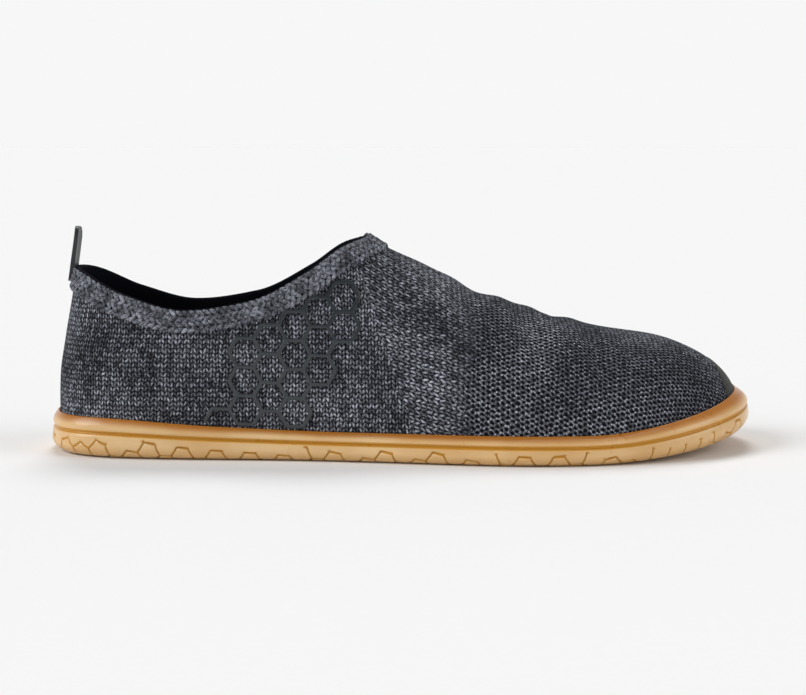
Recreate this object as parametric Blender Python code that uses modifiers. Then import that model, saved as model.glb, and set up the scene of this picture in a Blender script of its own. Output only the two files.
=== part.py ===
"""A right-foot barefoot shoe, unbent and standing on its sole: a knitted slip-on upper in a gum rubber cup sole.

+X points to the toe, +Y to the inner (medial) side and +Z up. The origin is under the middle of the sole, on the floor.
"""
import math
from collections import namedtuple

import bmesh
import bpy
import numpy as np
from mathutils import Vector
from mathutils.geometry import delaunay_2d_cdt

# Sizes of the whole shoe, in metres
LENGTH = 0.284
BALL_WIDTH = 0.105
TOE_WIDTH = 0.080
WAIST_WIDTH = 0.076
HEEL_WIDTH = 0.070
TOE_SPRING = 0.007
TOE_BREAK = 0.745
THROAT = 0.45
INSTEP_HEIGHT = 0.085
ANKLE_HEIGHT = 0.058
HEEL_HEIGHT = 0.076

# Sizes of the cup sole
FLOOR = 0.0045
SIDE_RIM = 0.0110
HEEL_RIM = 0.0155
TOE_RIM = 0.0160
CUP_WALL = 0.0038
EDGE_IN = 0.0045
EDGE_UP = 0.0036
BAND_SHARE = 0.62
BAND_LEAN = 0.0004
GROOVE_DEPTH = 0.0010
GROOVE_HEIGHT = 0.0012
BEAD_IN = 0.0006
LIP = 0.0008

# Honeycomb tread: the side of a cell, its groove, and the pads under ball and heel that carry full cells
CELL = 0.0044
TREAD_GROOVE = 0.0009
TREAD_DEPTH = 0.0008
PAD_PROUD = 0.0003
PAD_SLOPE = 0.0006
BALL_PAD_AT = 0.620
BALL_PAD_LENGTH = 0.066
BALL_PAD_WIDTH = 0.070
HEEL_PAD_AT = 0.157
HEEL_PAD_LENGTH = 0.041
HEEL_PAD_WIDTH = 0.050

# Sizes of the knitted upper
KNIT = 0.0020
RIB_HEIGHT = 0.0090
RIB_STEP = 0.0007
HEEL_SPINE = 0.14
TOE_SPINE = 0.84
HEEL_CURVE_FULL = 0.20
HEEL_CURVE_END = 0.43
TIP_BLEND = 0.12

# Footbed, pull tab and the printed honeycomb on both quarters
FOOTBED = 0.0030
FOOTBED_LIP = 0.0012
FOOTBED_DISH = 0.86
TAB_WIDTH = 0.015
TAB_LENGTH = 0.022
TAB_ABOVE = 0.013
TAB_CORNER = 0.0045
TAB_THICKNESS = 0.0016
CAGE_CELL = 0.0064
CAGE_LINE = 0.0015
CAGE_THICKNESS = 0.0007
CAGE_UNDER_RIB = 0.0015
CAGE_BACK = 0.25
CAGE_FRONT = 0.36
CAGE_LEAN = 0.45

# Clearances between pieces that touch
FIT = 0.0004
FOOTBED_FIT = 0.0006
SEAT = 0.0003

# How finely the forms are cut into flat faces
COLUMNS = 46
END_CROWDING = 0.45
STEP_TURN = 0.012
TANGENT_STEP = 0.004
WALL_ROWS = 8
EDGE_ROWS = 3
CUP_ROWS = (0.60, 0.25)

OutlinePoint = namedtuple("OutlinePoint", "along out width")
Section = namedtuple("Section", "along ridge_up ridge_side lateral_full medial_full rise")
HeelPoint = namedtuple("HeelPoint", "up reach")
CollarPoint = namedtuple("CollarPoint", "along share top")
RimPoint = namedtuple("RimPoint", "along height edge_scale")
Pad = namedtuple("Pad", "at length width")

PADS = (
    Pad(BALL_PAD_AT, BALL_PAD_LENGTH, BALL_PAD_WIDTH),
    Pad(HEEL_PAD_AT, HEEL_PAD_LENGTH, HEEL_PAD_WIDTH),
)

# Sole outline from the heel round the lateral side: shares of LENGTH, and of half the named width
OUTLINE = (
    OutlinePoint(0.000, 0.00, HEEL_WIDTH),
    OutlinePoint(0.036, -0.72, HEEL_WIDTH),
    OutlinePoint(0.135, -1.00, HEEL_WIDTH),
    OutlinePoint(0.350, -1.03, WAIST_WIDTH),
    OutlinePoint(0.530, -0.90, BALL_WIDTH),
    OutlinePoint(0.665, -1.00, BALL_WIDTH),
    OutlinePoint(0.790, -0.93, BALL_WIDTH),
    OutlinePoint(0.905, -0.86, TOE_WIDTH),
    OutlinePoint(0.974, -0.36, TOE_WIDTH),
    OutlinePoint(1.000, 0.30, TOE_WIDTH),
    OutlinePoint(0.978, 0.86, TOE_WIDTH),
    OutlinePoint(0.895, 1.17, TOE_WIDTH),
    OutlinePoint(0.735, 1.00, BALL_WIDTH),
    OutlinePoint(0.590, 0.83, BALL_WIDTH),
    OutlinePoint(0.410, 0.91, WAIST_WIDTH),
    OutlinePoint(0.165, 0.97, HEEL_WIDTH),
    OutlinePoint(0.040, 0.72, HEEL_WIDTH),
)


def before_throat(share):
    """A place between the heel and the throat, as a share of LENGTH."""
    return share * THROAT


def past_throat(share):
    """A place between the throat and the tip, as a share of LENGTH."""
    return THROAT + share * (1 - THROAT)


# Ridge of the last: its height as a share of INSTEP_HEIGHT, its side shift as a share of half the ball width,
# and how full each side of the section is. Behind the throat it is the cone that the ankle fills.
SECTIONS = (
    Section(before_throat(0.00), 1.62, 0.00, 2.3, 2.3, 2.3),
    Section(before_throat(0.31), 1.60, 0.00, 2.3, 2.3, 2.3),
    Section(before_throat(0.55), 1.46, 0.01, 2.2, 2.2, 2.2),
    Section(before_throat(0.75), 1.27, 0.02, 2.1, 2.1, 2.1),
    Section(before_throat(0.89), 1.12, 0.04, 2.0, 2.1, 2.0),
    Section(THROAT, 1.00, 0.06, 1.9, 2.1, 1.9),
    Section(past_throat(0.13), 0.875, 0.09, 1.9, 2.1, 1.9),
    Section(past_throat(0.27), 0.755, 0.12, 1.9, 2.2, 1.9),
    Section(past_throat(0.45), 0.635, 0.16, 2.1, 2.4, 2.0),
    Section(past_throat(0.64), 0.550, 0.19, 2.4, 2.7, 2.2),
    Section(past_throat(0.82), 0.500, 0.22, 2.7, 2.8, 2.4),
    Section(past_throat(1.00), 0.460, 0.23, 2.8, 2.8, 2.5),
)

# How far the back of the last stands out at each height, as a share of HEEL_HEIGHT and of the outline's reach
HEEL_CURVE = (
    HeelPoint(0.00, 1.000),
    HeelPoint(0.15, 1.024),
    HeelPoint(0.32, 1.026),
    HeelPoint(0.55, 0.985),
    HeelPoint(0.80, 0.920),
    HeelPoint(1.00, 0.905),
    HeelPoint(1.20, 0.930),
)

# Top line seen from the side: its rise above ANKLE_HEIGHT as a share of the rise to the named top
COLLAR = (
    CollarPoint(before_throat(0.00), 1.00, HEEL_HEIGHT),
    CollarPoint(before_throat(0.10), 0.84, HEEL_HEIGHT),
    CollarPoint(before_throat(0.26), 0.32, HEEL_HEIGHT),
    CollarPoint(before_throat(0.44), 0.00, HEEL_HEIGHT),
    CollarPoint(before_throat(0.64), 0.13, INSTEP_HEIGHT),
    CollarPoint(before_throat(0.82), 0.55, INSTEP_HEIGHT),
    CollarPoint(before_throat(0.93), 0.90, INSTEP_HEIGHT),
    CollarPoint(THROAT, 1.00, INSTEP_HEIGHT),
)

# Rim of the cup above the tread beside it, and how much rounder than the side its lower edge is
RIMS = (
    RimPoint(0.00, HEEL_RIM, 1.35),
    RimPoint(0.06, HEEL_RIM, 1.30),
    RimPoint(0.25, SIDE_RIM + 0.35 * (HEEL_RIM - SIDE_RIM), 1.05),
    RimPoint(0.42, SIDE_RIM, 1.00),
    RimPoint(0.76, SIDE_RIM, 1.00),
    RimPoint(0.93, SIDE_RIM + 0.60 * (TOE_RIM - SIDE_RIM), 1.45),
    RimPoint(1.00, TOE_RIM, 1.80),
)

Colour = namedtuple("Colour", "red green blue roughness")
GUM = Colour(0.62, 0.36, 0.11, 0.38)
KNIT_YARN = Colour(0.075, 0.085, 0.11, 0.90)
LINING = Colour(0.012, 0.012, 0.014, 0.95)
PRINT = Colour(0.055, 0.07, 0.08, 0.35)
TAB_PLASTIC = Colour(0.03, 0.03, 0.033, 0.45)


def curve_through(xs, ys):
    """A smooth function through the points that never overshoots between them, straight beyond its ends."""
    xs, ys = np.array(xs, float), np.array(ys, float)
    steps = np.diff(xs)
    slopes = np.diff(ys) / steps
    tangents = np.zeros(len(xs))
    tangents[0], tangents[-1] = slopes[0], slopes[-1]
    for i in range(1, len(xs) - 1):
        if slopes[i - 1] * slopes[i] > 0:
            first = 2 * steps[i] + steps[i - 1]
            second = steps[i] + 2 * steps[i - 1]
            tangents[i] = (first + second) / (first / slopes[i - 1] + second / slopes[i])

    def value(x):
        if x <= xs[0]:
            return float(ys[0] + (x - xs[0]) * tangents[0])
        if x >= xs[-1]:
            return float(ys[-1] + (x - xs[-1]) * tangents[-1])
        i = int(np.searchsorted(xs, x)) - 1
        t = (x - xs[i]) / steps[i]
        rise = ys[i] * (1 + 2 * t) * (1 - t) ** 2 + ys[i + 1] * t * t * (3 - 2 * t)
        bend = tangents[i] * t * (1 - t) ** 2 - tangents[i + 1] * t * t * (1 - t)
        return float(rise + steps[i] * bend)

    return value


def closed_spline(points, samples):
    """Evenly spaced points on the smooth closed curve through these points."""
    points = np.array(points, float)
    count = len(points)
    chords = np.linalg.norm(np.roll(points, -1, axis=0) - points, axis=1)
    system = np.zeros((count, count))
    right = np.zeros((count, 2))
    for i in range(count):
        before, after = chords[i - 1], chords[i]
        system[i, i - 1] = before
        system[i, i] = 2 * (before + after)
        system[i, (i + 1) % count] += after
        ahead = (points[(i + 1) % count] - points[i]) / after
        behind = (points[i] - points[i - 1]) / before
        right[i] = 6 * (ahead - behind)
    bends = np.linalg.solve(system, right)
    dense = []
    for i in range(count):
        j, chord = (i + 1) % count, chords[i]
        for t in np.linspace(0, 1, 60, endpoint=False):
            near, far = 1 - t, t
            cubic = (near**3 - near) * bends[i] + (far**3 - far) * bends[j]
            dense.append(near * points[i] + far * points[j] + cubic * chord * chord / 6)
    dense = np.array(dense + [dense[0]])
    run = np.concatenate([[0], np.cumsum(np.linalg.norm(np.diff(dense, axis=0), axis=1))])
    wanted = np.linspace(0, run[-1], samples + 1)
    return np.stack([np.interp(wanted, run, dense[:, k]) for k in range(2)], axis=1)


class Side:
    """One side of the sole outline, from the heel's back to the toe's tip, read by its share of arc length."""

    def __init__(self, points):
        self.points = points
        run = np.linalg.norm(np.diff(points, axis=0), axis=1)
        self.run = np.concatenate([[0], np.cumsum(run)])
        self.length = self.run[-1]

    def at(self, share):
        wanted = share * self.length
        return np.array([np.interp(wanted, self.run, self.points[:, k]) for k in range(2)])

    def share_at(self, along):
        return float(np.interp(along, self.points[:, 0], self.run / self.length))


def outline_sides():
    """The lateral and medial side of the sole's outline, centred on the origin."""
    placed = [(p.along * LENGTH, p.out * p.width / 2) for p in OUTLINE]
    loop = closed_spline(placed, 1600)
    loop -= (loop.max(axis=0) + loop.min(axis=0)) / 2
    heel, toe = int(np.argmin(loop[:, 0])), int(np.argmax(loop[:, 0]))
    ring = np.roll(loop[:-1], -heel, axis=0)
    toe = (toe - heel) % len(ring)
    return Side(ring[: toe + 1]), Side(np.concatenate([ring[toe:], ring[:1]])[::-1])


LATERAL, MEDIAL = outline_sides()
HALF = LENGTH / 2
MIDDLE_SHIFT = (LATERAL.points[0][1] + MEDIAL.points[0][1]) / 2

ridge_share = curve_through([s.along for s in SECTIONS], [s.ridge_up for s in SECTIONS])
ridge_shift = curve_through([s.along for s in SECTIONS], [s.ridge_side for s in SECTIONS])
lateral_full = curve_through([s.along for s in SECTIONS], [s.lateral_full for s in SECTIONS])
medial_full = curve_through([s.along for s in SECTIONS], [s.medial_full for s in SECTIONS])
section_rise = curve_through([s.along for s in SECTIONS], [s.rise for s in SECTIONS])
heel_reach = curve_through([h.up for h in HEEL_CURVE], [h.reach for h in HEEL_CURVE])
rim_height = curve_through([r.along for r in RIMS], [r.height for r in RIMS])
edge_scale = curve_through([r.along for r in RIMS], [r.edge_scale for r in RIMS])
collar_height = curve_through(
    [c.along for c in COLLAR],
    [ANKLE_HEIGHT + c.share * (c.top - ANKLE_HEIGHT) for c in COLLAR],
)


def share_along(x):
    return x / LENGTH + 0.5


def tread_up(x):
    """Height of the tread beside the pads: flat to the break, then rising to the toe spring."""
    past = max(0.0, (share_along(x) - TOE_BREAK) / (1 - TOE_BREAK))
    return PAD_PROUD + TOE_SPRING * past * past


def upper_base(x):
    return tread_up(x) + FLOOR + SEAT


def ridge_up(x):
    return INSTEP_HEIGHT * ridge_share(share_along(x))


def collar_up(x):
    return collar_height(share_along(x))


def soft_clamp(value, firmness=12.0):
    """From 0 to 1 with round corners, so that the columns turn gently round the heel and the toe."""
    low = math.log1p(math.exp(firmness * value))
    high = math.log1p(math.exp(firmness * (value - 1)))
    return (low - high) / firmness


class Column:
    """One upright line on the shoe's side: where it stands on the outline, and the spine point that it closes to."""

    def __init__(self, side, share):
        self.side, self.share = side, share
        self.edge = side.at(share)
        ahead, behind = side.at(min(1, share + TANGENT_STEP)), side.at(max(0, share - TANGENT_STEP))
        along = (ahead - behind) / np.linalg.norm(ahead - behind)
        turn = 1 if side is MEDIAL else -1
        self.out = turn * np.array([-along[1], along[0]])
        if share <= 0 or share >= 1:
            self.out = np.array([math.copysign(1.0, share - 0.5), 0.0])
        mean_along = share_along((LATERAL.at(share)[0] + MEDIAL.at(share)[0]) / 2)
        between = soft_clamp((mean_along - HEEL_SPINE) / (TOE_SPINE - HEEL_SPINE))
        at = HEEL_SPINE + (TOE_SPINE - HEEL_SPINE) * between
        spine_y = MIDDLE_SHIFT + ridge_shift(at) * BALL_WIDTH / 2
        self.spine = np.array([(at - 0.5) * LENGTH, spine_y])
        full = medial_full(at) if side is MEDIAL else lateral_full(at)
        weight = 0.5 - 0.5 * math.cos(math.pi * min(1, share / TIP_BLEND, (1 - share) / TIP_BLEND))
        mean_full = (medial_full(at) + lateral_full(at)) / 2
        self.full = mean_full + weight * (full - mean_full)
        self.rise = section_rise(at)
        fade = (at - HEEL_CURVE_FULL) / (HEEL_CURVE_END - HEEL_CURVE_FULL)
        fade = min(1.0, max(0.0, fade))
        self.heel_share = 1 - fade * fade * (3 - 2 * fade)
        self.at = at

    def inset(self, distance):
        return self.edge - distance * self.out

    def knit(self, angle):
        """A point on the outside of the upper: angle 0 is on the cup's floor and a right angle on the ridge."""
        reach = max(0.0, math.cos(angle)) ** (2 / self.full)
        out = self.inset(CUP_WALL + FIT) - self.spine
        along = self.spine[0] + reach * out[0]
        base = upper_base(along)
        up = base + max(0.0, math.sin(angle)) ** (2 / self.rise) * (ridge_up(along) - base)
        curve = 1 + self.heel_share * (heel_reach((up - base) / HEEL_HEIGHT) - 1)
        plan = self.spine + curve * reach * out
        return Vector((plan[0], plan[1], up))

    def angle_where(self, below):
        """The angle at which the column crosses a top line, or a right angle where it stays under it."""
        low, high = 0.0, None
        for angle in np.linspace(0, math.pi / 2, 60):
            if not below(self.knit(angle)):
                high = angle
                break
            low = angle
        if high is None:
            return math.pi / 2
        for _ in range(30):
            middle = (low + high) / 2
            if below(self.knit(middle)):
                low = middle
            else:
                high = middle
        return low

    def collar_angle(self):
        """Where the column meets the top line. From the throat forwards it runs up to the ridge."""
        if self.at >= THROAT:
            return math.pi / 2
        return self.angle_where(lambda point: point.z < collar_up(point.x))

    def rib_angle(self):
        """Where the rib under the top line begins, or the column's end where no rib reaches it."""
        low, high = 0.0, self.collar_angle()
        if below_top_line(self.knit(high)) >= RIB_HEIGHT:
            return high
        for _ in range(30):
            middle = (low + high) / 2
            if below_top_line(self.knit(middle)) > RIB_HEIGHT:
                low = middle
            else:
                high = middle
        return low

    def knit_at(self, up):
        return self.knit(self.angle_where(lambda point: point.z < up))


def throat_share():
    """The share of the outline whose column closes exactly at the throat."""
    low, high = 0.0, 1.0
    for _ in range(40):
        middle = (low + high) / 2
        if Column(LATERAL, middle).at < THROAT:
            low = middle
        else:
            high = middle
    return high


def top_line(count=90):
    """Points close together along the top line, on both sides."""
    shares = [throat_share() * i / count for i in range(count + 1)]
    columns = [Column(side, share) for side in (LATERAL, MEDIAL) for share in shares]
    return np.array([column.knit(column.collar_angle()) for column in columns])


TOP_LINE = top_line()


def below_top_line(point):
    """How far a point on the upper is from the top line."""
    return float(np.linalg.norm(TOP_LINE - np.array(point), axis=1).min())


def eased(count):
    """From 0 to 1 in count steps, closer together at both ends."""
    steps = [i / count for i in range(count + 1)]
    return [t - END_CROWDING * math.sin(2 * math.pi * t) / (2 * math.pi) for t in steps]


def around(count):
    """Columns in order round the shoe, from the heel along the lateral side to the toe and back.

    They stand closer together at the heel, at the throat and at the tip, where the forms turn fast."""
    throat = throat_share()
    back = [throat * t for t in eased(count // 2)]
    shares = back + [throat + (1 - throat) * t for t in eased(count - count // 2)[1:]]
    forward = [Column(LATERAL, share) for share in shares]
    return forward + [Column(MEDIAL, share) for share in shares[-2:0:-1]]


def new_mesh(name, points, faces, weld=1e-5):
    """A mesh object whose coincident points are welded and whose faces point outwards."""
    mesh = bpy.data.meshes.new(name)
    mesh.from_pydata([tuple(p) for p in points], [], [tuple(f) for f in faces])
    edit = bmesh.new()
    edit.from_mesh(mesh)
    bmesh.ops.remove_doubles(edit, verts=edit.verts, dist=weld)
    bmesh.ops.dissolve_degenerate(edit, edges=edit.edges, dist=weld / 10)
    bmesh.ops.recalc_face_normals(edit, faces=edit.faces)
    edit.to_mesh(mesh)
    edit.free()
    mesh.shade_smooth()
    return bpy.data.objects.new(name, mesh)


def ring_faces(rows, count):
    """Quads between closed rings of equal length, stored one after another."""
    faces = []
    for row in range(rows - 1):
        for i in range(count):
            j = (i + 1) % count
            faces.append((row * count + i, row * count + j, (row + 1) * count + j, (row + 1) * count + i))
    return faces


def hexagon(centre, radius):
    """Corners of a cell whose flats run along the shoe."""
    turns = [math.radians(60 * k) for k in range(6)]
    return [(centre[0] + radius * math.cos(t), centre[1] + radius * math.sin(t)) for t in turns]


def tread_centres(low, high):
    """Centres of the honeycomb cells between two corners of a box, on a lattice through the origin."""
    step_x, step_y = 1.5 * CELL, math.sqrt(3) * CELL
    centres = []
    for i in range(math.ceil(low[0] / step_x), math.floor(high[0] / step_x) + 1):
        shift = 0.5 * (i % 2)
        for j in range(math.ceil(low[1] / step_y - shift), math.floor(high[1] / step_y - shift) + 1):
            centres.append((i * step_x, (j + shift) * step_y))
    return centres


def middle_of_sole(x):
    """The middle of the sole's width at one place along it."""
    return (LATERAL.at(LATERAL.share_at(x))[1] + MEDIAL.at(MEDIAL.share_at(x))[1]) / 2


def half_of_sole(x):
    return (MEDIAL.at(MEDIAL.share_at(x))[1] - LATERAL.at(LATERAL.share_at(x))[1]) / 2


def pad_room(pad, point):
    """How far a point stands inside a pad's edge. The pad's width keeps step with the sole's."""
    middle = (pad.at - 0.5) * LENGTH
    half = pad.width / 2 * half_of_sole(point[0]) / half_of_sole(middle)
    return min(pad.length / 2 - abs(point[0] - middle), half - abs(point[1] - middle_of_sole(point[0])))


def pad_corners(pad, beyond):
    """The four corners of a pad, or of the outline that lies some way beyond its edge."""
    middle = (pad.at - 0.5) * LENGTH
    corners = []
    for end, side in ((-1, -1), (1, -1), (1, 1), (-1, 1)):
        x = middle + end * (pad.length / 2 + beyond)
        half = pad.width / 2 * half_of_sole(x) / half_of_sole(middle)
        corners.append((x, middle_of_sole(x) + side * (half + beyond)))
    return corners


def room_to_edge(centre):
    """How far a cell's middle stands from the tread's edge."""
    outline = np.concatenate([LATERAL.points, MEDIAL.points])
    to_outline = np.linalg.norm(outline - np.array(centre), axis=1).min()
    return to_outline - EDGE_IN * edge_scale(share_along(centre[0]))


def tread_faces(border):
    """The underside inside its border ring: two flat pads stand proud, with V grooves round their cells."""
    points, depths, edges, known = [], [], [], {}

    def place(x, y, depth):
        key = (round(x * 1e6), round(y * 1e6), depth > 0)
        if key not in known:
            known[key] = len(points)
            points.append((x, y))
            depths.append(depth)
        return known[key]

    rim = [place(p[0], p[1], 0.0) for p in border]
    pad_radius = CELL - TREAD_GROOVE / math.sqrt(3)
    half_width = max(BALL_WIDTH, HEEL_WIDTH, TOE_WIDTH) / 2
    centres = tread_centres((-HALF, -half_width), (HALF, half_width))
    for pad in PADS:
        for beyond, depth in ((0.0, -PAD_PROUD), (PAD_SLOPE, 0.0)):
            ring = [place(x, y, depth) for x, y in pad_corners(pad, beyond)]
            edges += [tuple(sorted((ring[k], ring[(k + 1) % 4]))) for k in range(4)]
    kept = [c for c in centres if max(pad_room(pad, c) for pad in PADS) > CELL + TREAD_GROOVE / 2]
    for centre in kept:
        nodes = [place(x, y, TREAD_DEPTH) for x, y in hexagon(centre, CELL)]
        face = [place(x, y, -PAD_PROUD) for x, y in hexagon(centre, pad_radius)]
        for ring in (nodes, face):
            edges += [tuple(sorted((ring[k], ring[(k + 1) % 6]))) for k in range(6)]
    kept_centres = np.array(kept)
    for centre in centres:
        gaps = np.linalg.norm(kept_centres - np.array(centre), axis=1)
        if gaps.min() < 0.5 * CELL:
            continue
        if gaps.min() > 2 * CELL:
            if share_along(centre[0]) > TOE_BREAK and room_to_edge(centre) > CELL:
                place(*centre, 0.0)
            continue
        for x, y in hexagon(centre, pad_radius):
            near = np.linalg.norm(kept_centres - np.array((x, y)), axis=1).min() < 1.5 * CELL
            if near and max(pad_room(pad, (x, y)) for pad in PADS) > PAD_SLOPE:
                place(x, y, -PAD_PROUD)
    coords, _, faces, origins, _, _ = delaunay_2d_cdt(
        [Vector(p) for p in points], sorted(set(edges)), [rim], 1, 1e-7
    )
    made = []
    for point, origin in zip(coords, origins):
        depth = max(depths[i] for i in origin)
        made.append((point.x, point.y, tread_up(point.x) + depth))
    return made, faces


def sole_wall(column):
    """The sole's profile at one column, from the tread's edge over the rim to the middle of the cup's floor."""
    along = share_along(column.edge[0])
    scale, rim = edge_scale(along), rim_height(along)
    edge_in, edge_up = EDGE_IN * scale, EDGE_UP * scale
    band = rim * BAND_SHARE

    def outside(inset, up):
        plan = column.inset(inset)
        return (plan[0], plan[1], tread_up(plan[0]) + up)

    rows = []
    for k in range(EDGE_ROWS + 1):
        turn = math.pi / 2 * k / EDGE_ROWS
        rows.append(outside(edge_in * (1 - math.sin(turn)), edge_up * (1 - math.cos(turn))))
    rows.append(outside(BAND_LEAN, band - GROOVE_HEIGHT / 2))
    rows.append(outside(BAND_LEAN + GROOVE_DEPTH, band))
    rows.append(outside(BEAD_IN, band + GROOVE_HEIGHT))
    rim_z = tread_up(column.edge[0]) + rim
    out = Vector((column.out[0], column.out[1], 0))
    lip = column.knit_at(rim_z) + FIT * out
    rows.append(tuple(lip + LIP * out - Vector((0, 0, LIP / 2))))
    rows.append(tuple(lip))
    foot_z = tread_up(column.inset(CUP_WALL)[0]) + FLOOR
    for share in CUP_ROWS:
        rows.append(tuple(column.knit_at(foot_z + share * (rim_z - foot_z)) + FIT * out))
    foot = column.inset(CUP_WALL)
    for share in (1.0, 0.5, 0.0):
        plan = column.spine + share * (foot - column.spine)
        rows.append((plan[0], plan[1], tread_up(plan[0]) + FLOOR))
    return rows


def make_outsole():
    """The gum rubber cup sole: tread, rounded edge, band, groove, bead and the cup that holds the upper."""
    columns = around(COLUMNS)
    profiles = [sole_wall(column) for column in columns]
    rows = len(profiles[0])
    points = [profiles[i][row] for row in range(rows) for i in range(len(columns))]
    faces = ring_faces(rows, len(columns))
    under, under_faces = tread_faces([p[0] for p in profiles])
    start = len(points)
    points += under
    faces += [tuple(start + v for v in face) for face in under_faces]
    return new_mesh("outsole", points, faces)


def make_upper():
    """The knitted upper: one wall, open at the collar and underneath, with the ribbed collar as a step in it."""
    points, raised, known = [], [], {}

    def place(point, lift):
        key = tuple(round(v * 1e6) for v in point)
        if key not in known:
            known[key] = len(points)
            points.append(point)
            raised.append(lift)
        spot = known[key]
        raised[spot] = min(raised[spot], lift)
        return spot

    grid = []
    for column in around(COLUMNS):
        rib, top = column.rib_angle(), column.collar_angle()
        line = [place(column.knit(rib * k / WALL_ROWS), 0.0) for k in range(WALL_ROWS + 1)]
        step = min(rib + STEP_TURN, top)
        for angle in (step, (step + top) / 2, top):
            line.append(place(column.knit(angle), RIB_STEP))
        grid.append(line)
    faces = set()
    for i, line in enumerate(grid):
        beside = grid[(i + 1) % len(grid)]
        for k in range(len(line) - 1):
            quad = [line[k], beside[k], beside[k + 1], line[k + 1]]
            face = tuple(v for n, v in enumerate(quad) if v != quad[n - 1])
            if len(set(face)) > 2:
                faces.add(face)
    mesh = bpy.data.meshes.new("upper")
    mesh.from_pydata(points, [], sorted(faces))
    edit = bmesh.new()
    edit.from_mesh(mesh)
    bmesh.ops.recalc_face_normals(edit, faces=edit.faces)
    edit.normal_update()
    edit.verts.ensure_lookup_table()
    normals = [vertex.normal.copy() for vertex in edit.verts]
    for vertex, lift, normal in zip(edit.verts, raised, normals):
        vertex.co += lift * normal
    bmesh.ops.triangulate(edit, faces=edit.faces, quad_method="SHORT_EDGE")
    edit.to_mesh(mesh)
    edit.free()
    mesh.shade_smooth()
    upper = bpy.data.objects.new("upper", mesh)
    add_wall(upper, KNIT)
    return upper


def add_wall(surface, thickness, even=True):
    """Gives an open surface its wall, on its inner side."""
    wall = surface.modifiers.new("Wall", "SOLIDIFY")
    wall.thickness = thickness
    wall.offset = -1
    wall.use_even_offset = even
    wall.use_quality_normals = even


def make_insole():
    """The loose footbed on the cup's floor, dished a little at its edge."""
    inset = CUP_WALL + FIT + KNIT + FOOTBED_FIT
    columns = around(COLUMNS // 2)
    rows = [[], [], [], [], []]
    for column in columns:
        edge = column.inset(inset)
        lip = FOOTBED + FOOTBED_LIP
        shares = ((0.0, 0.0), (1.0, 0.0), (1.0, lip), (FOOTBED_DISH, FOOTBED), (0.0, FOOTBED))
        for row, (share, up) in zip(rows, shares):
            plan = column.spine + share * (edge - column.spine)
            row.append((plan[0], plan[1], tread_up(plan[0]) + FLOOR + SEAT + up))
    points = [p for row in rows for p in row]
    return new_mesh("insole", points, ring_faces(len(rows), len(columns)))


def quarter_point(side, run, up, lift):
    """A point on the quarter: run metres along the outline from the heel, up metres above the floor, lift off the knit."""
    column = Column(side, run / side.length)
    here = column.knit_at(up)
    ahead = Column(side, (run + 0.002) / side.length).knit_at(up)
    above = column.knit_at(up + 0.002)
    normal = (ahead - here).cross(above - here).normalized()
    if normal.x * column.out[0] + normal.y * column.out[1] < 0:
        normal.negate()
    return here + lift * normal


def rim_up(side, run):
    """Height of the cup's rim, run metres along the outline from the heel."""
    x = side.at(run / side.length)[0]
    return tread_up(x) + rim_height(share_along(x))


def cage_cells(side):
    """Centres of the whole cells printed on one quarter, as (run along the outline, height above the rim)."""
    back = side.share_at((CAGE_BACK - 0.5) * LENGTH) * side.length
    front = side.share_at((CAGE_FRONT - 0.5) * LENGTH) * side.length
    step_x, step_y = 1.5 * CAGE_CELL, math.sqrt(3) / 2 * CAGE_CELL
    most_up = INSTEP_HEIGHT - SIDE_RIM
    centres = []
    for i in range(math.ceil((front - back + CAGE_LEAN * most_up) / step_x)):
        for j in range(i % 2, math.ceil(most_up / step_y), 2):
            run, up = back + i * step_x, j * step_y
            lean = CAGE_LEAN * up
            top = quarter_point(side, run, rim_up(side, run) + up + step_y, SEAT)
            room = below_top_line(top) - RIB_HEIGHT - CAGE_UNDER_RIB - CAGE_LINE
            under = room > 0 and top.z < collar_up(top.x)
            if under and back + lean / 2 <= run <= front + lean:
                centres.append((run, up))
    return largest_group(centres)


def largest_group(centres):
    """The most cells that hang together, each sharing a line with another, so that the print is one piece."""
    near = 1.01 * math.sqrt(3) * CAGE_CELL
    left, best = list(centres), []
    while left:
        group, edge = [], [left.pop(0)]
        while edge:
            centre = edge.pop()
            group.append(centre)
            beside = [other for other in left if math.dist(centre, other) < near]
            left = [other for other in left if other not in beside]
            edge += beside
        best = max(best, group, key=len)
    return best


def cage_bars(side):
    """The lattice lines around those cells, as pairs of keys, and each key's place. What dips under the rim is cut."""
    nodes, bars = {}, set()
    for centre in cage_cells(side):
        ring = []
        for x, y in hexagon(centre, CAGE_CELL):
            key = (round(x * 1e5), round(y * 1e5))
            nodes[key] = (x, y)
            ring.append(key)
        bars |= {tuple(sorted((ring[k], ring[(k + 1) % 6]))) for k in range(6)}
    above = {key for key, place in nodes.items() if place[1] > -1e-6}
    return sorted(bar for bar in bars if bar[0] in above and bar[1] in above), nodes


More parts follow.
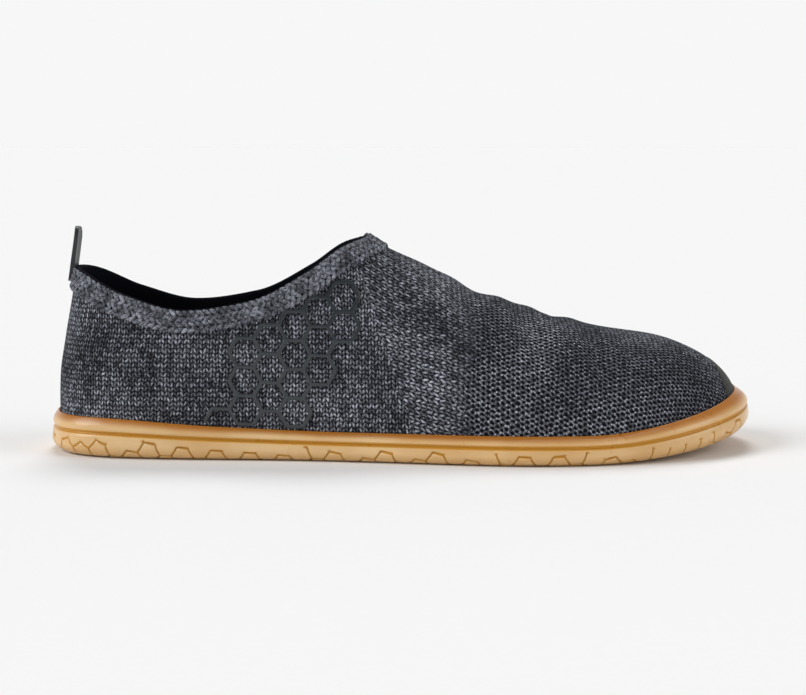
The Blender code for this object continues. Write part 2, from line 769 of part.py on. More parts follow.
def make_cage(name, side):
    """The raised honeycomb print on one quarter: flat bars that follow the knit."""
    kept, nodes = cage_bars(side)
    beside = {}
    for first, second in kept:
        beside.setdefault(first, []).append(second)
        beside.setdefault(second, []).append(first)
    points, faces, known = [], [], {}

    def place(x, y):
        key = (round(x * 1e6), round(y * 1e6))
        if key not in known:
            known[key] = len(points)
            up = rim_up(side, x) + CAGE_LINE + y
            points.append(quarter_point(side, x, up, SEAT + CAGE_THICKNESS))
        return known[key]

    reach = CAGE_LINE / math.sqrt(3)
    for first, second in kept:
        (x1, y1), (x2, y2) = nodes[first], nodes[second]
        length = math.hypot(x2 - x1, y2 - y1)
        along = ((x2 - x1) / length, (y2 - y1) / length)
        for hand in (1, -1):
            corners = []
            for x, y, way in ((x1, y1, 1), (x2, y2, -1)):
                turn = hand * math.radians(60)
                dx = way * along[0] * math.cos(turn) - along[1] * math.sin(turn)
                dy = way * along[1] * math.cos(turn) + along[0] * math.sin(turn)
                corners.append(place(x + reach * dx, y + reach * dy))
            faces.append((place(x1, y1), place(x2, y2), corners[1], corners[0]))
    for node, others in beside.items():
        if len(others) != 2:
            continue
        x, y = nodes[node]
        ways = [((nodes[o][0] - x) / CAGE_CELL, (nodes[o][1] - y) / CAGE_CELL) for o in others]
        faces.append((place(x, y), *(place(x - reach * w[0], y - reach * w[1]) for w in ways)))
    cage = new_mesh(name, points, faces, weld=1e-6)
    turn_outwards(cage, side)
    add_wall(cage, CAGE_THICKNESS, even=False)
    return cage


def turn_outwards(surface, side):
    """Flips an open quarter surface if its faces look into the shoe."""
    outward = 1 if side is MEDIAL else -1
    if sum(face.normal.y * face.area for face in surface.data.polygons) * outward < 0:
        surface.data.flip_normals()


def make_tab():
    """The pull tab: a flat moulded strip up the back of the heel, seated on the collar rib and standing above it."""
    rows, steps = 10, 4
    base = HEEL_HEIGHT + TAB_ABOVE - TAB_LENGTH
    half, points, faces = TAB_WIDTH / 2, [], []
    for row in range(rows + 1):
        share = 0.5 - 0.5 * math.cos(math.pi * row / rows)
        up = base + TAB_LENGTH * share
        into_corner = max(0.0, TAB_CORNER - min(up - base, base + TAB_LENGTH - up))
        width = half - TAB_CORNER + math.sqrt(max(0.0, TAB_CORNER**2 - into_corner**2))
        for k in range(-steps, steps + 1):
            side = MEDIAL if k > 0 else LATERAL
            run = abs(k) / steps * width
            points.append(quarter_point(side, run, up, RIB_STEP + SEAT + TAB_THICKNESS))
    wide = 2 * steps + 1
    for row in range(rows):
        for k in range(wide - 1):
            spot = row * wide + k
            faces.append((spot, spot + 1, spot + wide + 1, spot + wide))
    tab = new_mesh("heel_pull_tab", points, faces, weld=1e-6)
    if sum(face.normal.x * face.area for face in tab.data.polygons) > 0:
        tab.data.flip_normals()
    add_wall(tab, TAB_THICKNESS)
    return tab


def paint(obj, name, colour):
    material = bpy.data.materials.get(name) or bpy.data.materials.new(name)
    material.use_nodes = True
    shader = material.node_tree.nodes["Principled BSDF"]
    shader.inputs["Base Color"].default_value = (colour.red, colour.green, colour.blue, 1)
    shader.inputs["Roughness"].default_value = colour.roughness
    shader.inputs["Metallic"].default_value = 0.0
    obj.data.materials.append(material)


def main():
    for obj in list(bpy.data.objects):
        bpy.data.objects.remove(obj)
    shoe = bpy.data.collections.new("barefoot_shoe")
    bpy.context.scene.collection.children.link(shoe)
    frame = bpy.data.objects.new("shoe_frame", None)
    shoe.objects.link(frame)
    pieces = (
        (make_outsole(), "gum_rubber", GUM),
        (make_upper(), "knit", KNIT_YARN),
        (make_insole(), "footbed_fabric", LINING),
        (make_cage("honeycomb_print_lateral", LATERAL), "print_film", PRINT),
        (make_cage("honeycomb_print_medial", MEDIAL), "print_film", PRINT),
        (make_tab(), "tab_plastic", TAB_PLASTIC),
    )
    for obj, material, colour in pieces:
        paint(obj, material, colour)
        shoe.objects.link(obj)
        obj.parent = frame


main()
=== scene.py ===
"""The looks of a right-foot barefoot shoe: its knit, gum rubber, honeycomb print, pull tab and footbed.

+X points to the toe, +Y to the inner (medial) side and +Z up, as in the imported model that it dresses.
"""
import math
from collections import namedtuple

import bmesh
import bpy
import numpy as np
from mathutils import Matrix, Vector
from mathutils.geometry import delaunay_2d_cdt
from mathutils.kdtree import KDTree


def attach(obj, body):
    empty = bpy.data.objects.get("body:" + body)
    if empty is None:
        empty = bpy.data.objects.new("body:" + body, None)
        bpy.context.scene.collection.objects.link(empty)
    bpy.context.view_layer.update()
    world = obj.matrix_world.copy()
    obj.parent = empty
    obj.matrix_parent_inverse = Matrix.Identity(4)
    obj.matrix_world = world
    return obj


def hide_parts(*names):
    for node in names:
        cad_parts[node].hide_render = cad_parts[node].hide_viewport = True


bl_info = {
    "name": "Barefoot shoe looks",
    "version": (1, 0, 0),
    "blender": (4, 5, 0),
    "location": "View3D > Sidebar > Shoe",
    "description": "Dresses a packed barefoot shoe in knit and gum rubber, and sets up its stage",
    "category": "Object",
}

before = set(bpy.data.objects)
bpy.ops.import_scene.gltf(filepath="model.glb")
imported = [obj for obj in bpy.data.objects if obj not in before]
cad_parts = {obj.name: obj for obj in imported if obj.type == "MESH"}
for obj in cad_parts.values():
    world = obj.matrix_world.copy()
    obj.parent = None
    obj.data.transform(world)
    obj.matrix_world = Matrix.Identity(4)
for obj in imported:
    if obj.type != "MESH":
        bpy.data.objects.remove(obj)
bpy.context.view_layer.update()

# Sizes of the shoe in metres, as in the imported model. The toe break and the throat are shares of LENGTH
LENGTH = 0.284
BALL_WIDTH = 0.105
TOE_WIDTH = 0.080
WAIST_WIDTH = 0.076
HEEL_WIDTH = 0.070
TOE_SPRING = 0.007
TOE_BREAK = 0.745
THROAT = 0.45
INSTEP_HEIGHT = 0.085
ANKLE_HEIGHT = 0.058
HEEL_HEIGHT = 0.076
HALF = LENGTH / 2

# Cup sole: lengths in metres, and steps and shares of its band, groove, bead, lip, wall and floor
FLOOR = 0.0045
SIDE_RIM = 0.0110
HEEL_RIM = 0.0155
TOE_RIM = 0.0160
CUP_WALL = 0.0038
EDGE_IN = 0.0045
EDGE_UP = 0.0036
BAND_SHARE = 0.62
BAND_LEAN = 0.0004
GROOVE_DEPTH = 0.0010
GROOVE_HEIGHT = 0.0012
BEAD_IN = 0.0006
BEAD_BULGE = 0.0007
BEAD_CROWD = 0.6
BEAD_OUT = 0.6
BEAD_UP = 0.8
LIP = 0.0008
LIP_OUTER = 0.55
LIP_INNER = 0.1
GROOVE_STEPS = (-0.45, -0.25, 0.0, 0.25, 0.5, 1.0)
GROOVE_SHARPNESS = 2.4
CUP_WALL_STEPS = (0.75, 0.45, 0.2)
CUP_FLOOR_STEPS = (1.0, 0.6, 0.3, 0.0)

# Honeycomb tread, which climbs over the sole's lower edge. CLIMB is a share of the band's height
CELL = 0.0044
TREAD_GROOVE = 0.0009
TREAD_DEPTH = 0.0008
PAD_PROUD = 0.0003
FLANK = 0.0004
GROOVE_REACHES = tuple(width / math.sqrt(3) for width in (TREAD_GROOVE, TREAD_GROOVE + 2 * FLANK))
WRAP_STRETCH = 1.25
WRAP_MARGIN = 0.0003
CLIMB = 0.80

# Upper: lengths in metres, where the spine, heel curve, TIP_BLEND and the gore's foot are shares along it
KNIT = 0.0020
RIB_HEIGHT = 0.0090
RIB_STEP = 0.0007
HEEL_SPINE = 0.14
TOE_SPINE = 0.84
HEEL_CURVE_FULL = 0.20
HEEL_CURVE_END = 0.43
TIP_BLEND = 0.12
FIT = 0.0004
SEAT = 0.0003
STEP_BLEND = 0.0014
FILM_STEP = 0.00025
FILM_LENGTH = 0.0165
FILM_CURVE = 8.0
FILM_BLEND = 0.0008
TIP_SIDE = 0.012
GORE_FOOT = 0.530
GORE_LEAN = 0.35
SEAM_DEPTH = 0.0004
SEAM_WIDTH = 0.0012

# Slack waves of the knit, where slack and folds fade out, and a fold's ridge and taper as shares of it
SLACK = 0.00030
SLACK_LONG = 0.0105
SLACK_HIGH = 0.0085
SLACK_DRIFT = 0.020
SLACK_SHORT = 0.0062
SLACK_ACROSS = 0.0075
SLACK_SECOND = 0.6
SLACK_START = 1.3
SLACK_SECOND_START = 0.7
RIM_FADE = 0.006
PRINT_MARGIN = 0.0020
PRINT_FADE = 0.0100
FOLD_RIDGE = 0.45
FOLD_RIDGE_AWAY = 1.7
FOLD_RIDGE_WIDTH = 0.8
FOLD_TAPER = 0.3
FOLD_SIDE_FADE = 0.010

# Chunky stitches of the collar: their two rows, and the size, lean in degrees and shape of their legs
STITCH_ROW_DEPTHS = (0.31 * RIB_HEIGHT, 0.77 * RIB_HEIGHT)
LEG_SPREAD = RIB_HEIGHT / 8
LEG_LIFT = RIB_STEP * 0.25
LEG_LENGTH_SHARE = 1.55
LEG_WIDTH = RIB_HEIGHT * 0.20
LEG_HEIGHT = RIB_HEIGHT * 0.16
LEG_LEAN = 32
LEG_SEED = 5
LEG_SEGMENTS = 8
LEG_RINGS = 6
LEG_SMALLEST = 0.90
LEG_LARGEST = 1.10

# Knitting patterns: slants of the V stitches, shares of a stitch or hole, and where the open mesh starts
INSTEP_SLANT = 1.5
QUARTER_SLANT = 1.3
COLLAR_SLANT = 1.3
MESH_SLANT = 1.6
QUARTER_WIDTH_SHARE = 0.86
QUARTER_HEIGHT_SHARE = 0.82
MESH_HEIGHT_SHARE = 0.92
MESH_YARN_SHARE = 0.5
LEG_ROUNDNESS = 0.6
LEG_END_ROUNDNESS = 0.7
HOLE_HALF_WIDTH = 0.25
HOLE_HALF_HEIGHT = 0.36
HOLE_FLOOR = 0.6
HOLE_BRIM = 1.7
MESH_START = 0.615
MESH_FULL = 0.655
MESH_START_WANDER = 0.10
MESH_YARN_FLOOR = 0.45
STITCH_DARKEST = 0.20
# Painted shade: how quickly the yarn darkens from a stitch's crown into the gaps and holes
YARN_SHADING = 1.9
SEAM_BLEND = 0.0004
BAND_BLEND = 0.0006

# Grain of each finish: scale of its noise, depth of its bump in metres, and how far the noise pushes
YARN_WANDER_GRAIN = 260.0
YARN_PATCH_GRAIN = 34.0
YARN_FLECK_GRAIN = 1150.0
YARN_FLECK_SHARE = 0.18
PLY_GRAIN = 900.0
PLY_PATCH_GRAIN = 210.0
PLY_BUMP = 0.00025
LINING_GRAIN = 1400.0
LINING_BUMP = 0.0003
GUM_CLOUD_GRAIN = 26.0
GUM_GLOSS_GRAIN = 90.0
GUM_FINE_GRAIN = 1800.0
GUM_BUMP = 0.00004
GUM_WANDER = 0.10
GUM_LUMPS = 1.5
GUM_SCATTER = (1.0, 0.42, 0.12)
PRINT_CLOUD_GRAIN = 160.0
PRINT_FINE_GRAIN = 700.0
PRINT_BUMP = 0.00008
TAB_CLOUD_GRAIN = 240.0
TAB_FINE_GRAIN = 2200.0
TAB_BUMP = 0.00006
COVER_WEAVE_GRAIN = 420.0
COVER_BUMP = 0.0002
FLOOR_GRAIN = 240.0

# Plain numbers of the surface that both yarn materials share
YARN_SURFACE = dict(Roughness=0.90, Specular_IOR_Level=0.04, Sheen_Weight=0.01, Sheen_Roughness=0.5)

# Footbed: lengths in metres, and steps from its middle to its rim as shares
FOOTBED = 0.0030
FOOTBED_LIP = 0.0012
FOOTBED_FIT = 0.0006
FOOTBED_DISH = 0.86
FOOTBED_DISH_END = 0.985
FOOTBED_SWELL = 0.006
FOOTBED_RIM_TURNS = (-1.2, -0.6, 0.0, 0.6, 1.2)
FOOTBED_TOP_STEPS = (0.975, 0.95, 0.92, 0.88, 0.80, 0.65, 0.45, 0.25, 0.0)
FOOTBED_UNDER_STEPS = (0.0, 0.5, 0.975)

# Softened edges of the small parts: radii in metres and angles in degrees
PRINT_EDGE = 0.00028
TAB_EDGE = 0.00045
SHARP_EDGE = 35.0
NEARLY_FLAT = 3.0
DOUBLES = 5e-6
EDGE_SEGMENTS = 3

# How finely the surfaces are cut
OUTLINE_SAMPLES = 3200
COLUMN_SAMPLES = 220
BACK_COLUMNS = 165
FRONT_COLUMNS = 235
KNIT_ROWS = 88
INNER_ROWS = 22
HEM_ROWS = 5
SPLINE_STEPS = 120
SOLE_COLUMNS = 190
FOOTBED_COLUMNS = 90
FLOOR_CORNERS = 64
EDGE_STEPS = 6
BAND_STEPS = 3
BEAD_STEPS = 8
BISECTIONS = 24
THROAT_BISECTIONS = 40
NEAR_GROOVES = 5

# Steps too small to count, and how finely two places are told apart
TINY = 1e-9
TINIEST = 1e-12
NO_REACH = 1e-6
WELD = 2e-6
CUT_TOLERANCE = 1e-7
NODE_GRID = 1e5
PLACE_GRID = 2e6

OutlinePoint = namedtuple("OutlinePoint", "along out width")
Section = namedtuple("Section", "along ridge_up ridge_side lateral_full medial_full rise")
HeelPoint = namedtuple("HeelPoint", "up reach")
CollarPoint = namedtuple("CollarPoint", "along share top")
RimPoint = namedtuple("RimPoint", "along height edge_scale")
Fold = namedtuple("Fold", "view side start end depth width")

# Sole outline from the heel round the lateral side: shares of LENGTH, and of half the named width
OUTLINE = (
    OutlinePoint(0.000, 0.00, HEEL_WIDTH),
    OutlinePoint(0.036, -0.72, HEEL_WIDTH),
    OutlinePoint(0.135, -1.00, HEEL_WIDTH),
    OutlinePoint(0.350, -1.03, WAIST_WIDTH),
    OutlinePoint(0.530, -0.90, BALL_WIDTH),
    OutlinePoint(0.665, -1.00, BALL_WIDTH),
    OutlinePoint(0.790, -0.93, BALL_WIDTH),
    OutlinePoint(0.905, -0.86, TOE_WIDTH),
    OutlinePoint(0.974, -0.36, TOE_WIDTH),
    OutlinePoint(1.000, 0.30, TOE_WIDTH),
    OutlinePoint(0.978, 0.86, TOE_WIDTH),
    OutlinePoint(0.895, 1.17, TOE_WIDTH),
    OutlinePoint(0.735, 1.00, BALL_WIDTH),
    OutlinePoint(0.590, 0.83, BALL_WIDTH),
    OutlinePoint(0.410, 0.91, WAIST_WIDTH),
    OutlinePoint(0.165, 0.97, HEEL_WIDTH),
    OutlinePoint(0.040, 0.72, HEEL_WIDTH),
)


def before_throat(share):
    """A place between the heel and the throat, as a share of LENGTH."""
    return share * THROAT


def past_throat(share):
    """A place between the throat and the tip, as a share of LENGTH."""
    return THROAT + share * (1 - THROAT)


# Ridge of the last: shares of INSTEP_HEIGHT up and of half BALL_WIDTH aside, and how full its sections are
SECTIONS = (
    Section(before_throat(0.00), 1.62, 0.00, 2.3, 2.3, 2.3),
    Section(before_throat(0.31), 1.60, 0.00, 2.3, 2.3, 2.3),
    Section(before_throat(0.55), 1.46, 0.01, 2.2, 2.2, 2.2),
    Section(before_throat(0.75), 1.27, 0.02, 2.1, 2.1, 2.1),
    Section(before_throat(0.89), 1.12, 0.04, 2.0, 2.1, 2.0),
    Section(THROAT, 1.00, 0.06, 1.9, 2.1, 1.9),
    Section(past_throat(0.13), 0.875, 0.09, 1.9, 2.1, 1.9),
    Section(past_throat(0.27), 0.755, 0.12, 1.9, 2.2, 1.9),
    Section(past_throat(0.45), 0.635, 0.16, 2.1, 2.4, 2.0),
    Section(past_throat(0.64), 0.550, 0.19, 2.4, 2.7, 2.2),
    Section(past_throat(0.82), 0.500, 0.22, 2.7, 2.8, 2.4),
    Section(past_throat(1.00), 0.460, 0.23, 2.8, 2.8, 2.5),
)

# How far the back of the last stands out at each height: shares of HEEL_HEIGHT and of the outline's reach
HEEL_CURVE = (
    HeelPoint(0.00, 1.000),
    HeelPoint(0.15, 1.024),
    HeelPoint(0.32, 1.026),
    HeelPoint(0.55, 0.985),
    HeelPoint(0.80, 0.920),
    HeelPoint(1.00, 0.905),
    HeelPoint(1.20, 0.930),
)

# Top line seen from the side: its rise above ANKLE_HEIGHT as a share of the rise to the named top
COLLAR = (
    CollarPoint(before_throat(0.00), 1.00, HEEL_HEIGHT),
    CollarPoint(before_throat(0.10), 0.84, HEEL_HEIGHT),
    CollarPoint(before_throat(0.26), 0.32, HEEL_HEIGHT),
    CollarPoint(before_throat(0.44), 0.00, HEEL_HEIGHT),
    CollarPoint(before_throat(0.64), 0.13, INSTEP_HEIGHT),
    CollarPoint(before_throat(0.82), 0.55, INSTEP_HEIGHT),
    CollarPoint(before_throat(0.93), 0.90, INSTEP_HEIGHT),
    CollarPoint(THROAT, 1.00, INSTEP_HEIGHT),
)

# Rim of the cup above the tread beside it, and how much rounder its lower edge is than at the sides
RIMS = (
    RimPoint(0.00, HEEL_RIM, 1.35),
    RimPoint(0.06, HEEL_RIM, 1.30),
    RimPoint(0.25, SIDE_RIM + 0.35 * (HEEL_RIM - SIDE_RIM), 1.05),
    RimPoint(0.42, SIDE_RIM, 1.00),
    RimPoint(0.76, SIDE_RIM, 1.00),
    RimPoint(0.93, SIDE_RIM + 0.60 * (TOE_RIM - SIDE_RIM), 1.45),
    RimPoint(1.00, TOE_RIM, 1.80),
)

# Folds: shares of LENGTH, then of half BALL_WIDTH (top) or INSTEP_HEIGHT (side), and metres deep and wide
FOLDS = (
    Fold("top", 0, (0.585, -0.72), (0.615, 0.60), 0.0010, 0.0060),
    Fold("top", 0, (0.690, -0.88), (0.662, 0.30), 0.0014, 0.0052),
    Fold("top", 0, (0.700, -0.05), (0.732, 0.90), 0.0011, 0.0050),
    Fold("top", 0, (0.778, -0.82), (0.755, 0.05), 0.0008, 0.0048),
    Fold("side", -1, (0.462, 0.90), (0.548, 0.40), 0.0016, 0.0064),
    Fold("side", -1, (0.540, 0.74), (0.605, 0.34), 0.0012, 0.0058),
    Fold("side", -1, (0.050, 0.62), (0.195, 0.53), 0.0015, 0.0048),
    Fold("side", -1, (0.090, 0.37), (0.215, 0.29), 0.0011, 0.0045),
    Fold("side", 1, (0.465, 0.88), (0.545, 0.40), 0.0015, 0.0062),
    Fold("side", 1, (0.060, 0.60), (0.200, 0.51), 0.0014, 0.0048),
    Fold("side", 1, (0.100, 0.38), (0.205, 0.30), 0.0010, 0.0045),
)

Colour = namedtuple("Colour", "red green blue")
Light = namedtuple("Light", "towards spread strength")
Ramp = namedtuple("Ramp", "low high start end", defaults=(0.0, 1.0))

# Colours of the pieces that have no settings of their own
LINING_DARK = Colour(0.006, 0.006, 0.008)
LINING_LIGHT = Colour(0.022, 0.022, 0.027)
COVER_LIGHT = Colour(0.030, 0.031, 0.036)
COVER_DARK = Colour(0.018, 0.018, 0.022)
COVER_GAP = Colour(0.006, 0.006, 0.008)
PRINT_DARK = Colour(0.012, 0.016, 0.020)
PRINT_LIGHT = Colour(0.028, 0.035, 0.041)
# Painted highlight: paler colours on the print's rounded edges
PRINT_HIGHLIGHT_DARK = Colour(0.120, 0.138, 0.148)
PRINT_HIGHLIGHT_LIGHT = Colour(0.230, 0.255, 0.268)
TAB_DARK = Colour(0.012, 0.014, 0.016)
TAB_LIGHT = Colour(0.026, 0.029, 0.033)
# Painted highlight: paler colours on the tab's rounded edges
TAB_HIGHLIGHT_DARK = Colour(0.060, 0.066, 0.072)
TAB_HIGHLIGHT_LIGHT = Colour(0.110, 0.118, 0.126)

# Smooth steps that turn a number of the surface into a share, a roughness or a depth
KNIT_FLECKS = Ramp(0.38, 0.64, 0.30, 1.45)
KNIT_PATCHES = Ramp(0.32, 0.70, 0.55, 1.30)
PLY_FLECKS = Ramp(0.32, 0.72, 0.12, 0.72)
PLY_PATCHES = Ramp(0.30, 0.68, 0.30, 0.95)
FILM_EDGE = Ramp(0.4, 0.6)
FILM_ROUGHNESS = Ramp(0.0, 1.0, 0.86, 0.46)
FILM_FLATNESS = Ramp(0.0, 1.0, 1.0, 0.20)
GUM_LOW = Ramp(0.40, 0.02, 0.0, 0.75)
GUM_CLOUDS = Ramp(0.3, 0.7)
# Painted shade: where the rise turns the rubber deep orange, on the bead's slope beside the knit
GUM_SLOPE_SHADE = Ramp(0.76, 0.97)
GUM_GROOVES = Ramp(0.0, 0.35)
GUM_ROUGHNESS = Ramp(0.25, 0.75, 0.26, 0.42)
PRINT_ROUGHNESS = Ramp(0.3, 0.7, 0.16, 0.30)

# Stage: where each soft light shines from, its spread in degrees and its strength
STUDIO_LIGHTS = (
    Light((-0.80, -0.30, 0.60), 34, 1.60),
    Light((0.85, -0.20, 0.55), 38, 0.75),
    Light((0.00, 0.70, 1.00), 26, 1.30),
)
TENT_SIDES = 0.93
TENT_TOP = 0.22
TENT_FADE_START = 0.12
TENT_FADE_END = 0.50
FLOOR_SHADE = 0.985
FLOOR_RADIUS = 14.0
FLOOR_DROP = 0.0002
PHOTO_WIDTH = 806
SHOE_WIDTH_IN_PHOTO = 752
SENSOR = 0.036


def curve_through(xs, ys):
    """A smooth function through the points, which never overshoots and is straight beyond its ends."""
    xs, ys = np.array(xs, float), np.array(ys, float)
    steps = np.diff(xs)
    slopes = np.diff(ys) / steps
    tangents = np.zeros(len(xs))
    tangents[0], tangents[-1] = slopes[0], slopes[-1]
    for i in range(1, len(xs) - 1):
        if slopes[i - 1] * slopes[i] > 0:
            first = 2 * steps[i] + steps[i - 1]
            second = steps[i] + 2 * steps[i - 1]
            tangents[i] = (first + second) / (first / slopes[i - 1] + second / slopes[i])

    def value(x):
        x = np.asarray(x, float)
        i = np.clip(np.searchsorted(xs, x) - 1, 0, len(steps) - 1)
        t = np.clip((x - xs[i]) / steps[i], 0, 1)
        rise = ys[i] * (1 + 2 * t) * (1 - t) ** 2 + ys[i + 1] * t * t * (3 - 2 * t)
        bend = tangents[i] * t * (1 - t) ** 2 - tangents[i + 1] * t * t * (1 - t)
        beyond = tangents[0] * np.minimum(0, x - xs[0]) + tangents[-1] * np.maximum(0, x - xs[-1])
        return rise + steps[i] * bend + beyond

    return value


def closed_spline(points, samples):
    """Evenly spaced points on the smooth closed curve through these points."""
    points = np.array(points, float)
    count = len(points)
    chords = np.linalg.norm(np.roll(points, -1, axis=0) - points, axis=1)
    system = np.zeros((count, count))
    right = np.zeros((count, 2))
    for i in range(count):
        before, after = chords[i - 1], chords[i]
        system[i, i - 1] = before
        system[i, i] = 2 * (before + after)
        system[i, (i + 1) % count] += after
        ahead = (points[(i + 1) % count] - points[i]) / after
        behind = (points[i] - points[i - 1]) / before
        right[i] = 6 * (ahead - behind)
    bends = np.linalg.solve(system, right)
    dense = []
    for i in range(count):
        j, chord = (i + 1) % count, chords[i]
        for t in np.linspace(0, 1, SPLINE_STEPS, endpoint=False):
            near, far = 1 - t, t
            cubic = (near**3 - near) * bends[i] + (far**3 - far) * bends[j]
            dense.append(near * points[i] + far * points[j] + cubic * chord * chord / 6)
    dense = np.array(dense + [dense[0]])
    run = np.concatenate([[0], np.cumsum(np.linalg.norm(np.diff(dense, axis=0), axis=1))])
    wanted = np.linspace(0, run[-1], samples + 1)
    return np.stack([np.interp(wanted, run, dense[:, k]) for k in range(2)], axis=1)


class Side:
    """One side of the sole outline, from the heel's back to the toe's tip, read by share of arc length."""

    def __init__(self, points, normals):
        self.points = points
        self.normals = normals
        run = np.linalg.norm(np.diff(points, axis=0), axis=1)
        self.run = np.concatenate([[0], np.cumsum(run)])
        self.length = self.run[-1]

    def read(self, table, share):
        """The table's row at a share of the way from the heel to the toe."""
        wanted = np.asarray(share) * self.length
        return np.stack([np.interp(wanted, self.run, table[:, k]) for k in range(2)], axis=-1)

    def at(self, share):
        """The outline's point at this share."""
        return self.read(self.points, share)

    def out(self, share):
        """The outline's unit normal at this share, pointing away from the shoe."""
        normal = self.read(self.normals, share)
        return normal / np.linalg.norm(normal, axis=-1, keepdims=True)


def outline_sides():
    """The lateral and medial side of the sole's outline, centred on the origin."""
    placed = [(p.along * LENGTH, p.out * p.width / 2) for p in OUTLINE]
    loop = closed_spline(placed, OUTLINE_SAMPLES)
    loop -= (loop.max(axis=0) + loop.min(axis=0)) / 2
    heel, toe = int(np.argmin(loop[:, 0])), int(np.argmax(loop[:, 0]))
    ring = np.roll(loop[:-1], -heel, axis=0)
    tangent = np.roll(ring, -1, axis=0) - np.roll(ring, 1, axis=0)
    normals = np.stack([tangent[:, 1], -tangent[:, 0]], axis=1)
    normals /= np.linalg.norm(normals, axis=1, keepdims=True)
    normals[0] = (-1, 0)
    toe = (toe - heel) % len(ring)
    normals[toe] = (1, 0)
    lateral = Side(ring[: toe + 1], normals[: toe + 1])
    medial = Side(
        np.concatenate([ring[toe:], ring[:1]])[::-1],
        np.concatenate([normals[toe:], normals[:1]])[::-1],
    )
    return lateral, medial


def curve_of(table, column, by="along"):
    """A smooth function through one column of a table."""
    return curve_through([getattr(row, by) for row in table], [getattr(row, column) for row in table])


LATERAL, MEDIAL = outline_sides()
MIDDLE_SHIFT = (LATERAL.points[0][1] + MEDIAL.points[0][1]) / 2

ridge_share = curve_of(SECTIONS, "ridge_up")
ridge_shift = curve_of(SECTIONS, "ridge_side")
lateral_full = curve_of(SECTIONS, "lateral_full")
medial_full = curve_of(SECTIONS, "medial_full")
section_rise = curve_of(SECTIONS, "rise")
heel_reach = curve_of(HEEL_CURVE, "reach", by="up")
rim_height = curve_of(RIMS, "height")
edge_scale = curve_of(RIMS, "edge_scale")
collar_height = curve_through(
    [c.along for c in COLLAR],
    [ANKLE_HEIGHT + c.share * (c.top - ANKLE_HEIGHT) for c in COLLAR],
)


def share_along(x):
    """How far along the shoe a place is, as a share of LENGTH from the heel."""
    return x / LENGTH + 0.5


def tread_up(x):
    """Height of the sole beside its pads: flat to the break, then rising to the toe spring."""
    past = np.maximum(0.0, (share_along(x) - TOE_BREAK) / (1 - TOE_BREAK))
    return PAD_PROUD + TOE_SPRING * past * past


def upper_base(x):
    """Height that the upper's lower edge stands on, in the cup."""
    return tread_up(x) + FLOOR + SEAT


def ridge_up(x):
    """Height of the last's ridge."""
    return INSTEP_HEIGHT * ridge_share(share_along(x))


def soft_clamp(value, firmness=12.0):
    """From 0 to 1 with round corners, so that the columns turn gently round the heel and the toe."""
    low = np.log1p(np.exp(firmness * value))
    high = np.log1p(np.exp(firmness * (value - 1)))
    return (low - high) / firmness


def smoothstep(value):
    """From 0 to 1 with a gentle start and end."""
    value = np.clip(value, 0, 1)
    return value * value * (3 - 2 * value)


